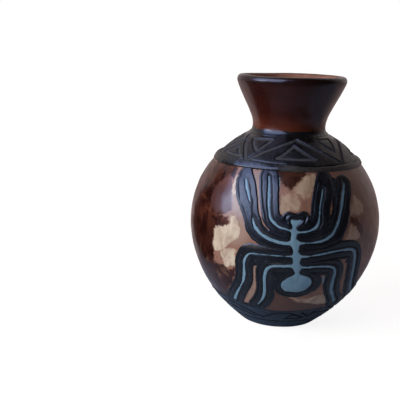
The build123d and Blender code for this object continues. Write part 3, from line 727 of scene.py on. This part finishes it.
groove = groove * (0.15 + 0.85 * near_trunk)
rough_hand = 0.03 * waves(43, 7)(gp) + 0.006 * waves(44, 3)(gp)
base_h = hand_made(gr, ga, gz)
outline_top = base_h + 0.30 + crown - soft - 0.48 * groove - 0.30 * valley * near_trunk + knob + rough_hand
fill_top = base_h + 0.16 + 0.10 * step(-dist, 0.0, 2.5) - 0.10 * np.exp(-((dist / 0.5) ** 2)) + rough_hand
low = base_h - 1.55
worn = np.exp(-(((ga + 24) / 7.5) ** 2) - ((gz - 84.3) / 1.5) ** 2) + 0.8 * np.exp(-(((ga + 10) / 5) ** 2) - ((gz - 71.5) / 0.8) ** 2)
for wa, wz, sa, sz in ((-32, 104, 5.0, 9.0), (-18.5, 99, 4.5, 7.0), (14, 98, 4.0, 5.0)):
    worn = np.maximum(worn, 0.9 * groove * np.exp(-(((ga - wa) / sa) ** 2) - ((gz - wz) / sz) ** 2))
outline = patch_mesh("spider_outline", fig_a, fig_s, np.maximum(np.maximum(edge, -dist), limits), outline_top, low, {"dist": dist, "groove": groove, "worn": worn})
fill = patch_mesh("spider_fill", fig_a, fig_s, np.maximum(dist, limits), fill_top, low, {"dist": dist})


# ------------------------------------------------------------------ materials
class Mat:
    def __init__(self, name):
        self.m = bpy.data.materials.new(name)
        self.m.use_nodes = True
        self.t = self.m.node_tree
        self.t.nodes.clear()
        out = self.t.nodes.new("ShaderNodeOutputMaterial")
        self.b = self.t.nodes.new("ShaderNodeBsdfPrincipled")
        self.t.links.new(self.b.outputs[0], out.inputs[0])
        self.co = self.t.nodes.new("ShaderNodeTexCoord").outputs["Object"]

    def put(self, socket, value):
        if hasattr(value, "is_linked") or isinstance(value, bpy.types.NodeSocket):
            self.t.links.new(value, socket)
        else:
            socket.default_value = value

    def set(self, **kw):
        for k, v in kw.items():
            self.put(self.b.inputs[k.replace("_", " ")], v)

    def scaled(self, x, y, z, source=None):
        n = self.t.nodes.new("ShaderNodeMapping")
        n.inputs["Scale"].default_value = (x, y, z)
        self.put(n.inputs["Vector"], source or self.co)
        return n.outputs[0]

    def noise(self, scale, detail=4.0, rough=0.55, vec=None, distortion=0.0):
        n = self.t.nodes.new("ShaderNodeTexNoise")
        n.inputs["Scale"].default_value = scale
        n.inputs["Detail"].default_value = detail
        n.inputs["Roughness"].default_value = rough
        n.inputs["Distortion"].default_value = distortion
        self.put(n.inputs["Vector"], vec or self.co)
        return n.outputs["Fac"]

    def math(self, op, a, b=0.0, c=0.0):
        n = self.t.nodes.new("ShaderNodeMath")
        n.operation = op
        for s, v in zip(n.inputs, (a, b, c)):
            self.put(s, v)
        return n.outputs[0]

    def ramp(self, x, lo, hi, a=0.0, b=1.0):
        n = self.t.nodes.new("ShaderNodeMapRange")
        n.interpolation_type = "SMOOTHSTEP"
        for s, v in zip(n.inputs, (x, lo, hi, a, b)):
            self.put(s, v)
        return n.outputs[0]

    def mix(self, fac, a, b):
        n = self.t.nodes.new("ShaderNodeMix")
        n.data_type = "RGBA"
        self.put(n.inputs[0], fac)
        for s, v in ((n.inputs[6], a), (n.inputs[7], b)):
            self.put(s, v if not isinstance(v, tuple) else (*v, 1.0))
        return n.outputs[2]

    def attr(self, name):
        n = self.t.nodes.new("ShaderNodeAttribute")
        n.attribute_name = name
        return n.outputs["Fac"]

    def height(self):
        n = self.t.nodes.new("ShaderNodeSeparateXYZ")
        self.put(n.inputs[0], self.co)
        return self.math("MULTIPLY", n.outputs[2], 1000.0)

    def across(self):
        n = self.t.nodes.new("ShaderNodeSeparateXYZ")
        self.put(n.inputs[0], self.co)
        return self.math("MULTIPLY", n.outputs[0], 1000.0)

    def bump(self, h, strength, distance, under=None):
        n = self.t.nodes.new("ShaderNodeBump")
        n.inputs["Strength"].default_value = strength
        n.inputs["Distance"].default_value = distance
        self.put(n.inputs["Height"], h)
        if under is not None:
            self.put(n.inputs["Normal"], under)
        return n.outputs[0]


def clay_belly():
    m = Mat("burnished_clouded_clay")
    big, med, fine = m.noise(24, 3), m.noise(75, 5, 0.6), m.noise(300, 5, 0.6)
    brush = m.noise(130, 5, 0.62, m.scaled(1.0, 1.0, 0.42), 0.6)
    warp = m.math("ADD", m.math("MULTIPLY", m.math("SUBTRACT", med, 0.5), 9.0), m.math("MULTIPLY", m.math("SUBTRACT", fine, 0.5), 4.0))

    def mask(name, soft, grow=0.0):
        return m.ramp(m.math("ADD", m.attr(name), warp), soft + grow, -soft + grow)

    mauve = m.mix(m.ramp(med, 0.3, 0.7), (0.305, 0.152, 0.112), (0.415, 0.222, 0.165))
    mauve = m.mix(m.ramp(big, 0.40, 0.7, 0.0, 0.6), mauve, (0.215, 0.102, 0.074))
    # painted shade: above mid height the mauve clay is painted darker towards the right side, which faces away from
    # the lamps
    flank = m.math("MULTIPLY", m.ramp(m.across(), 34.0, 62.0, 0.0, 0.55), m.ramp(m.height(), 68.0, 96.0))
    mauve = m.mix(flank, mauve, (0.165, 0.082, 0.062))
    rust = m.mix(m.ramp(brush, 0.36, 0.62), (0.017, 0.0036, 0.0026), (0.074, 0.020, 0.0125))
    rust = m.mix(m.ramp(m.noise(48, 4, 0.6, None, 0.8), 0.54, 0.72, 0.0, 0.85), rust, (0.165, 0.052, 0.026))
    rust = m.mix(m.ramp(m.height(), 104.0, 82.0, 0.0, 0.42), rust, (0.010, 0.0020, 0.0015))
    smear = m.math("MULTIPLY", m.ramp(m.noise(52, 4, 0.62, m.scaled(1, 1, 0.6), 1.6), 0.50, 0.66), m.ramp(m.height(), 84.0, 62.0, 0.0, 0.75))
    rust = m.mix(smear, rust, (0.165, 0.083, 0.048))
    dark = m.mix(m.ramp(brush, 0.35, 0.65), (0.038, 0.0125, 0.009), (0.088, 0.034, 0.023))
    dark = m.mix(m.ramp(m.height(), 75.0, 42.0, 0.0, 0.75), dark, (0.17, 0.086, 0.070))
    dark = m.mix(m.ramp(m.across(), 40.0, 50.0, 0.0, 0.9), dark, (0.150, 0.062, 0.040))
    tan = m.mix(m.ramp(brush, 0.3, 0.7), (0.50, 0.305, 0.225), (0.64, 0.43, 0.325))
    pale = m.mix(m.ramp(med, 0.3, 0.7), (0.30, 0.20, 0.172), (0.375, 0.265, 0.228))
    pale = m.mix(m.ramp(m.height(), 108.0, 92.0, 0.0, 0.8), pale, (0.405, 0.265, 0.215))
    cream = m.mix(m.ramp(brush, 0.32, 0.66), (0.49, 0.36, 0.28), (0.74, 0.635, 0.53))
    cream = m.mix(m.ramp(fine, 0.45, 0.75, 0.0, 0.5), cream, (0.80, 0.71, 0.60))
    # painted shade: the cream is painted darker and browner right of the pot's left flank, where it gets less light
    # from the lamps
    cream = m.mix(m.ramp(m.across(), -40.0, -12.0, 0.0, 0.75), cream, m.mix(m.ramp(brush, 0.32, 0.66), (0.44, 0.27, 0.185), (0.62, 0.44, 0.325)))
    c = m.mix(mask("pale", 5.0), mauve, pale)
    veil = m.ramp(m.math("ADD", m.attr("haze"), m.math("MULTIPLY", m.math("SUBTRACT", fine, 0.5), 3.0)), 1.3, -1.3)
    haze = m.mix(m.ramp(m.math("ADD", m.height(), warp), 122.0, 134.0), (0.082, 0.032, 0.029), (0.165, 0.066, 0.052))
    c = m.mix(veil, c, m.mix(m.ramp(brush, 0.35, 0.65, 0.0, 0.5), haze, (0.098, 0.034, 0.025)))
    c = m.mix(mask("rust", 1.2), c, rust)
    c = m.mix(mask("dark", 1.0), c, dark)
    c = m.mix(mask("tan", 1.3), c, tan)
    c = m.mix(mask("cream", 0.9), c, cream)
    spill = m.math("ADD", m.attr("spill"), m.math("MULTIPLY", m.math("SUBTRACT", fine, 0.5), 2.0))
    c = m.mix(m.ramp(spill, 0.35, -0.35, 0.0, 0.9), c, (0.24, 0.40, 0.52))
    inside = m.noise(90, 5, 0.6)
    raw = m.mix(m.ramp(inside, 0.3, 0.7), (0.30, 0.125, 0.066), (0.44, 0.195, 0.108))
    c_in = m.mix(inner_mask(m), c, raw)
    speck = m.ramp(m.noise(900, 2, 0.5), 0.70, 0.76)
    c_in = m.mix(m.math("MULTIPLY", speck, 0.35), c_in, (0.08, 0.04, 0.03))
    rough = m.ramp(m.noise(160, 4, 0.6, m.scaled(1, 1, 0.3)), 0.3, 0.7, 0.25, 0.35)
    rough = m.math("SUBTRACT", rough, m.math("MULTIPLY", m.math("MAXIMUM", mask("rust", 3.0), veil), 0.08))
    rough = m.math("SUBTRACT", rough, m.math("MULTIPLY", mask("dark", 1.0), 0.08))
    m.set(Base_Color=c_in, Roughness=m.math("ADD", rough, m.math("MULTIPLY", inner_mask(m), 0.4)), Specular_IOR_Level=0.45)
    b = m.bump(m.noise(420, 4, 0.6, m.scaled(1, 1, 0.25)), 0.10, 0.0006)
    m.set(Normal=m.bump(m.noise(1500, 3), 0.05, 0.0003, b))
    return m.m


def inner_mask(m):
    """1 on the inside of the vessel: nearer the axis than the outside wall by more than 3 mm."""
    n = m.t.nodes.new("ShaderNodeAttribute")
    n.attribute_name = "inner"
    return n.outputs["Fac"]


def clay_neck(name="burnished_dark_clay"):
    m = Mat(name)
    z = m.height()
    med, brush = m.noise(60, 5, 0.6), m.noise(70, 4, 0.5, m.scaled(0.4, 0.4, 3.0))
    zz = m.math("ADD", z, m.math("MULTIPLY", m.math("SUBTRACT", med, 0.5), 16.0))
    c = m.mix(m.ramp(zz, 170.0, 187.0), (0.100, 0.022, 0.0105), (0.039, 0.0070, 0.0050))
    c = m.mix(m.ramp(zz, 186.0, 205.0), c, (0.029, 0.0066, 0.0062))
    c = m.mix(m.ramp(brush, 0.40, 0.75, 0.0, 0.16), c, (0.070, 0.020, 0.0125))
    edge = m.math("ADD", z, m.math("MULTIPLY", m.math("SUBTRACT", m.noise(210, 5, 0.65), 0.5), 5.0))
    c = m.mix(m.ramp(edge, 170.6, 170.0), c, (0.009, 0.010, 0.014))
    c = m.mix(m.ramp(z, 207.6, 209.6, 0.0, 0.6), c, (0.012, 0.0055, 0.0052))
    raw = m.mix(m.ramp(m.noise(90, 5, 0.6), 0.3, 0.7), (0.27, 0.105, 0.052), (0.42, 0.18, 0.096))
    c = m.mix(inner_mask(m), c, raw)
    rough = m.ramp(m.noise(140, 4, 0.6, m.scaled(1, 1, 0.3)), 0.3, 0.7, 0.16, 0.27)
    m.set(Base_Color=c, Roughness=m.math("ADD", rough, m.math("MULTIPLY", inner_mask(m), 0.55)), Specular_IOR_Level=0.45)
    b = m.bump(m.noise(380, 4, 0.6, m.scaled(1, 1, 0.25)), 0.07, 0.0006)
    m.set(Normal=m.bump(m.noise(1500, 3), 0.04, 0.0003, b))
    return m.m


def black_slip(name, base, lift, rough_lo, rough_hi, bump=0.25, gloss=0.85, groove_dust_and_shade=None, polish=None):
    m = Mat(name)
    med, fine = m.noise(110, 5, 0.62), m.noise(520, 4, 0.6)
    c = m.mix(m.ramp(med, 0.35, 0.7), base, lift)
    wear = m.math("MULTIPLY", m.ramp(fine, 0.60, 0.74), m.ramp(m.noise(45, 3), 0.5, 0.7))
    c = m.mix(m.math("MULTIPLY", wear, 0.30), c, (0.075, 0.066, 0.062))
    c = m.mix(m.ramp(m.noise(1250, 2, 0.5), 0.65, 0.72, 0.0, 0.8), c, (0.15, 0.14, 0.13))
    rough = m.ramp(med, 0.3, 0.7, rough_lo, rough_hi)
    if groove_dust_and_shade:  # dull in the drawn lines, dark on their walls
        groove = m.attr("groove")
        deep = m.ramp(m.math("ADD", groove, m.math("MULTIPLY", m.math("SUBTRACT", fine, 0.5), 0.4)), 0.58, 0.97)
        # painted shade: the walls of the cut lines are painted near-black
        c = m.mix(m.ramp(groove, 0.02, 0.30), c, (0.0022, 0.0023, 0.0028))
        # the floors of the cut lines take the groove colour argument: pale dust on the shoulder band, painted shade on
        # the figure and the foot band
        c = m.mix(deep, c, groove_dust_and_shade)
        rough = m.math("ADD", rough, m.math("MULTIPLY", m.ramp(groove, 0.1, 0.6), 0.40))
        worn = m.math("MULTIPLY", m.attr("worn"), m.ramp(m.noise(620, 5, 0.7), 0.30, 0.68, 0.35, 1.0))
        c = m.mix(worn, c, (0.088, 0.078, 0.070))
        rough = m.math("ADD", rough, m.math("MULTIPLY", worn, 0.2))
    if polish:  # smoother over this height
        rough = m.math("SUBTRACT", rough, m.ramp(m.height(), polish, polish + 2.0, 0.0, 0.19))
        rough = m.math("SUBTRACT", rough, m.ramp(m.height(), polish - 14.5, polish - 16.0, 0.0, 0.13))
    m.set(Base_Color=c, Roughness=rough, Specular_IOR_Level=gloss)
    b = m.bump(m.noise(260, 5, 0.6), bump, 0.0009)
    m.set(Normal=m.bump(m.noise(1100, 3), 0.12, 0.0004, b))
    return m.m


def blue_slip():
    m = Mat("slate_blue_slip")
    med, brush = m.noise(85, 5, 0.6), m.noise(210, 5, 0.6, m.scaled(1, 1, 0.4), 0.5)
    c = m.mix(m.ramp(brush, 0.3, 0.7), (0.185, 0.335, 0.485), (0.25, 0.42, 0.575))
    c = m.mix(m.ramp(med, 0.5, 0.75, 0.0, 0.6), c, (0.17, 0.295, 0.42))
    edge = m.ramp(m.math("ADD", m.attr("dist"), m.math("MULTIPLY", m.math("SUBTRACT", m.noise(500, 4), 0.5), 0.5)), -0.28, -0.05)
    c = m.mix(m.math("MULTIPLY", edge, 0.65), c, (0.045, 0.075, 0.105))
    m.set(Base_Color=c, Roughness=m.ramp(med, 0.3, 0.7, 0.36, 0.5), Specular_IOR_Level=0.4)
    m.set(Normal=m.bump(m.noise(420, 5, 0.6), 0.12, 0.0006))
    return m.m


def foot_clay():
    m = Mat("foot_clay")
    z = m.height()
    med = m.noise(80, 5, 0.6)
    zz = m.math("ADD", z, m.math("MULTIPLY", m.math("SUBTRACT", m.noise(200, 5), 0.5), 2.0))
    raw = m.mix(m.ramp(med, 0.3, 0.7), (0.24, 0.105, 0.06), (0.36, 0.18, 0.11))
    black = m.mix(m.ramp(med, 0.3, 0.7), (0.0190, 0.0370, 0.0700), (0.0310, 0.0570, 0.1040))
    c = m.mix(m.ramp(zz, 0.5, 1.3), raw, black)
    c = m.mix(m.ramp(z, 8.85, 8.95), c, m.mix(m.attr("inner"), c, raw))
    m.set(Base_Color=c, Roughness=m.ramp(med, 0.3, 0.7, 0.42, 0.6), Specular_IOR_Level=0.4)
    m.set(Normal=m.bump(m.noise(300, 5, 0.6), 0.25, 0.0008))
    return m.m


def mark_inner(ob):
    """Marks the inside wall, for the raw clay there."""
    me = ob.data
    co = np.zeros(len(me.vertices) * 3, np.float32)
    me.vertices.foreach_get("co", co)
    co = co.reshape(-1, 3) * 1000.0
    o = lean(co[:, 2])
    r = np.hypot(co[:, 0] - o * LEAN_DIR[0], co[:, 1] - o * LEAN_DIR[1])
    top = co[:, 2] > 208.6
    deep = radius_at(np.clip(co[:, 2], 0, 214.9)) - r
    val = np.where(top, step(41.2 - r, 0.0, 2.4), step(deep, 3.4, 4.6))
    a = me.attributes.new("inner", "FLOAT", "POINT")
    a.data.foreach_set("value", val.astype(np.float32))


for ob in (lip, neck, belly, foot):
    mark_inner(ob)
clay, dark_clay = clay_belly(), clay_neck()
# the third colour of each black slip colours the floors of its cut lines: pale dust on the shoulder band, painted
# shade on the figure and the foot band
band_black = black_slip("carved_black_slip", (0.0050, 0.0050, 0.0066), (0.0115, 0.0112, 0.0130), 0.33, 0.43, 0.10, 0.48, (0.054, 0.049, 0.046), 162.0)
figure_black = black_slip("figure_black_slip", (0.0030, 0.0040, 0.0075), (0.0065, 0.0085, 0.0140), 0.30, 0.38, 0.05, 0.60, (0.006, 0.006, 0.007))
foot_black = black_slip("foot_black_slip", (0.0105, 0.0205, 0.0370), (0.0195, 0.0365, 0.0630), 0.36, 0.46, 0.25, 0.55, (0.0045, 0.0075, 0.0115))
blue, foot_mat = blue_slip(), foot_clay()
for ob, mat, nodes, slot in (
    (lip, dark_clay, ("rim_coil", "rim_luting_ring"), "dark_burnished_clay"),
    (neck, dark_clay, ("neck_collar", "neck_luting_ring"), "dark_burnished_clay"),
    (belly, clay, ("upper_bowl", "bowl_luting_ring", "lower_bowl"), "burnished_clay"),
    (shoulder, band_black, ("shoulder_band_slip",), "black_slip"),
    (foot_band, foot_black, ("foot_band_slip",), "black_slip"),
    (foot, foot_mat, ("foot_slab", "foot_luting_ring"), "burnished_clay"),
    (outline, figure_black, ("spider_outline_slip",), "black_slip"),
    (fill, blue, ("spider_fill_slip",), "blue_slip"),
):
    ob.data.materials.append(mat)
    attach(ob, "root")
    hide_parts(*nodes)

# ------------------------------------------------------------------ camera
CAM_D, CAM_H, PITCH, YAW, ROLL, FOCAL, TURN = 651.358, 243.826, 12.2026, 6.5715, 1.6555, 750.0, 7.9827
p, y, ro = (math.radians(v) for v in (PITCH, YAW, ROLL))
forward = Vector((-math.sin(y) * math.cos(p), math.cos(y) * math.cos(p), -math.sin(p)))
right = Vector((math.cos(y), math.sin(y), 0))
up = right.cross(forward)
right, up = math.cos(ro) * right + math.sin(ro) * up, -math.sin(ro) * right + math.cos(ro) * up
turn = Matrix.Rotation(math.radians(-TURN), 3, "Z")
forward, right, up = turn @ forward, turn @ right, turn @ up
place = turn @ Vector((0, -CAM_D, CAM_H)) * 0.001
cam_data = bpy.data.cameras.new("camera")
cam_data.sensor_width, cam_data.lens = 36.0, 36.0 * FOCAL / 400
cam_data.clip_start, cam_data.clip_end = 0.05, 50
cam = bpy.data.objects.new("camera", cam_data)
cam.matrix_world = Matrix(((right.x, up.x, -forward.x, place.x), (right.y, up.y, -forward.y, place.y), (right.z, up.z, -forward.z, place.z), (0, 0, 0, 1)))
bpy.context.scene.collection.objects.link(cam)
bpy.context.scene.camera = cam


# ------------------------------------------------------------------ studio
def area(name, at, aim, size, power, colour, glossy=True, diffuse=True):
    d = bpy.data.lights.new(name, "AREA")
    d.shape, d.size, d.size_y = "RECTANGLE", size[0], size[1]
    d.energy, d.color = power, colour
    ob = bpy.data.objects.new(name, d)
    ob.location = at
    ob.rotation_euler = (Vector(aim) - Vector(at)).to_track_quat("-Z", "Y").to_euler()
    ob.visible_glossy, ob.visible_diffuse, ob.visible_camera = glossy, diffuse, False
    bpy.context.scene.collection.objects.link(ob)
    return ob


MID = Vector((0, 0, 0.11))
toward = Vector((-0.676, -0.510, 0.526)).normalized()
area("window", MID + toward * 1.7, MID, (1.5, 1.05), 7.5, (0.92, 0.95, 1.0))
sheen = Vector((-0.741, -0.394, 0.545)).normalized()
area("window_sheen", MID + sheen * 1.9, MID, (2.4, 1.9), 60.0, (0.385, 0.515, 1.0), diffuse=False)
low = Vector((-0.935, -0.21, 0.29)).normalized()
area("window_low", MID + low * 1.75, MID, (0.70, 0.62), 6.2, (0.75, 0.88, 1.0), diffuse=False)
area("warm_fill", MID + Vector((-0.94, -0.335, 0.06)).normalized() * 2.0, MID, (1.4, 1.4), 41.0, (1.0, 0.94, 0.85), glossy=False)

# a dark flag beside the pot, out of the camera's sight, that keeps glare off its left flank
bpy.ops.mesh.primitive_uv_sphere_add(segments=48, ring_count=24, radius=1, location=(-0.166, 0.004, 0.078))
flag = bpy.context.object
flag.name, flag.scale = "flag", (0.066, 0.066, 0.078)
bpy.ops.mesh.primitive_cone_add(vertices=48, radius1=0.026, radius2=0.045, depth=0.05, location=(-0.166, 0.004, 0.158))
flag_top = bpy.context.object
flag_top.name = "flag_top"
black_card = bpy.data.materials.new("black_card")
black_card.use_nodes = True
black_card.node_tree.nodes["Principled BSDF"].inputs["Base Color"].default_value = (0.02, 0.016, 0.018, 1)
black_card.node_tree.nodes["Principled BSDF"].inputs["Roughness"].default_value = 0.9
for ob in (flag, flag_top):
    ob.data.materials.append(black_card)
    ob.visible_camera = ob.visible_diffuse = ob.visible_shadow = False

scene = bpy.context.scene
world = bpy.data.worlds.new("world")
scene.world = world
world.use_nodes = True
t = world.node_tree
t.nodes.clear()
w_out = t.nodes.new("ShaderNodeOutputWorld")
tex = t.nodes.new("ShaderNodeTexCoord")
sep = t.nodes.new("ShaderNodeSeparateXYZ")
t.links.new(tex.outputs["Generated"], sep.inputs[0])
back = t.nodes.new("ShaderNodeMapRange")
back.interpolation_type = "SMOOTHSTEP"
for i, v in enumerate((None, -0.20, 0.6, 0.025, 0.49)):
    if v is not None:
        back.inputs[i].default_value = v
t.links.new(sep.outputs[1], back.inputs[0])
bg = t.nodes.new("ShaderNodeBackground")
bg.inputs["Color"].default_value = (1.0, 0.86, 0.85, 1)
t.links.new(back.outputs[0], bg.inputs["Strength"])
white = t.nodes.new("ShaderNodeBackground")
white.inputs["Color"].default_value = (1, 1, 1, 1)
white.inputs["Strength"].default_value = 1.0
lp = t.nodes.new("ShaderNodeLightPath")
mixer = t.nodes.new("ShaderNodeMixShader")
t.links.new(lp.outputs["Is Camera Ray"], mixer.inputs[0])
t.links.new(bg.outputs[0], mixer.inputs[1])
t.links.new(white.outputs[0], mixer.inputs[2])
t.links.new(mixer.outputs[0], w_out.inputs[0])

bpy.ops.mesh.primitive_plane_add(size=8, location=(0, 0, 0))
floor = bpy.context.object
floor.name = "floor"
fm = bpy.data.materials.new("pale_floor")
fm.use_nodes = True
ft = fm.node_tree
ft.nodes.clear()
f_out = ft.nodes.new("ShaderNodeOutputMaterial")
dim = ft.nodes.new("ShaderNodeBsdfDiffuse")
dim.inputs["Color"].default_value = (0.55, 0.60, 0.68, 1)
# for glossy rays the floor carries painted light and shade for the pot to reflect; the camera sees the pale glowing
# floor and diffuse rays an even floor
f_pos = ft.nodes.new("ShaderNodeNewGeometry")
f_len = ft.nodes.new("ShaderNodeSeparateXYZ")
ft.links.new(f_pos.outputs["Position"], f_len.inputs[0])
# painted shade far in front of the pot
f_far = ft.nodes.new("ShaderNodeMapRange")
f_far.interpolation_type = "SMOOTHSTEP"
for i, v in ((1, -0.06), (2, -0.34)):
    f_far.inputs[i].default_value = v
ft.links.new(f_len.outputs["Y"], f_far.inputs[0])
# painted shadow left of the pot, painted bluish light beside it
f_left = ft.nodes.new("ShaderNodeMapRange")
f_left.interpolation_type = "SMOOTHSTEP"
for i, v in ((1, -0.24), (2, -0.08)):
    f_left.inputs[i].default_value = v
ft.links.new(f_len.outputs["X"], f_left.inputs[0])
f_near = ft.nodes.new("ShaderNodeMix")
f_near.data_type = "RGBA"
f_near.inputs[6].default_value = (0.16, 0.17, 0.20, 1)
f_near.inputs[7].default_value = (0.50, 0.64, 0.90, 1)
ft.links.new(f_left.outputs[0], f_near.inputs[0])
f_col = ft.nodes.new("ShaderNodeMix")
f_col.data_type = "RGBA"
f_col.inputs[7].default_value = (0.10, 0.11, 0.13, 1)
ft.links.new(f_far.outputs[0], f_col.inputs[0])
ft.links.new(f_near.outputs[2], f_col.inputs[6])
# painted light: a bright warm pool behind the pot, brighter than white
f_back = ft.nodes.new("ShaderNodeMapRange")
f_back.interpolation_type = "SMOOTHSTEP"
for i, v in ((1, 0.02), (2, 0.25)):
    f_back.inputs[i].default_value = v
ft.links.new(f_len.outputs["Y"], f_back.inputs[0])
f_all = ft.nodes.new("ShaderNodeMix")
f_all.data_type = "RGBA"
f_all.inputs[7].default_value = (1.30, 1.09, 1.08, 1)
ft.links.new(f_back.outputs[0], f_all.inputs[0])
ft.links.new(f_col.outputs[2], f_all.inputs[6])
# the floor's painted reflection colour, seen only by glossy rays
floor_painted_reflection = ft.nodes.new("ShaderNodeBsdfDiffuse")
ft.links.new(f_all.outputs[2], floor_painted_reflection.inputs["Color"])
lit = ft.nodes.new("ShaderNodeBsdfDiffuse")
lit.inputs["Color"].default_value = (0.42, 0.42, 0.42, 1)
glow = ft.nodes.new("ShaderNodeEmission")
f_dist = ft.nodes.new("ShaderNodeVectorMath")
f_dist.operation = "LENGTH"
ft.links.new(f_pos.outputs["Position"], f_dist.inputs[0])
f_glow = ft.nodes.new("ShaderNodeMapRange")
f_glow.interpolation_type = "SMOOTHSTEP"
for i, v in ((1, 0.30), (2, 0.80), (3, 0.88), (4, 1.0)):
    f_glow.inputs[i].default_value = v
ft.links.new(f_dist.outputs["Value"], f_glow.inputs[0])
ft.links.new(f_glow.outputs[0], glow.inputs["Strength"])
add = ft.nodes.new("ShaderNodeAddShader")
ft.links.new(lit.outputs[0], add.inputs[0])
ft.links.new(glow.outputs[0], add.inputs[1])
flp = ft.nodes.new("ShaderNodeLightPath")
gmix = ft.nodes.new("ShaderNodeMixShader")
ft.links.new(flp.outputs["Is Glossy Ray"], gmix.inputs[0])
ft.links.new(dim.outputs[0], gmix.inputs[1])
ft.links.new(floor_painted_reflection.outputs[0], gmix.inputs[2])
fmix = ft.nodes.new("ShaderNodeMixShader")
ft.links.new(flp.outputs["Is Camera Ray"], fmix.inputs[0])
ft.links.new(gmix.outputs[0], fmix.inputs[1])
ft.links.new(add.outputs[0], fmix.inputs[2])
ft.links.new(fmix.outputs[0], f_out.inputs[0])
floor.data.materials.append(fm)

scene.view_settings.view_transform = "Standard"
scene.view_settings.look = "None"
scene.view_settings.exposure = 0.0
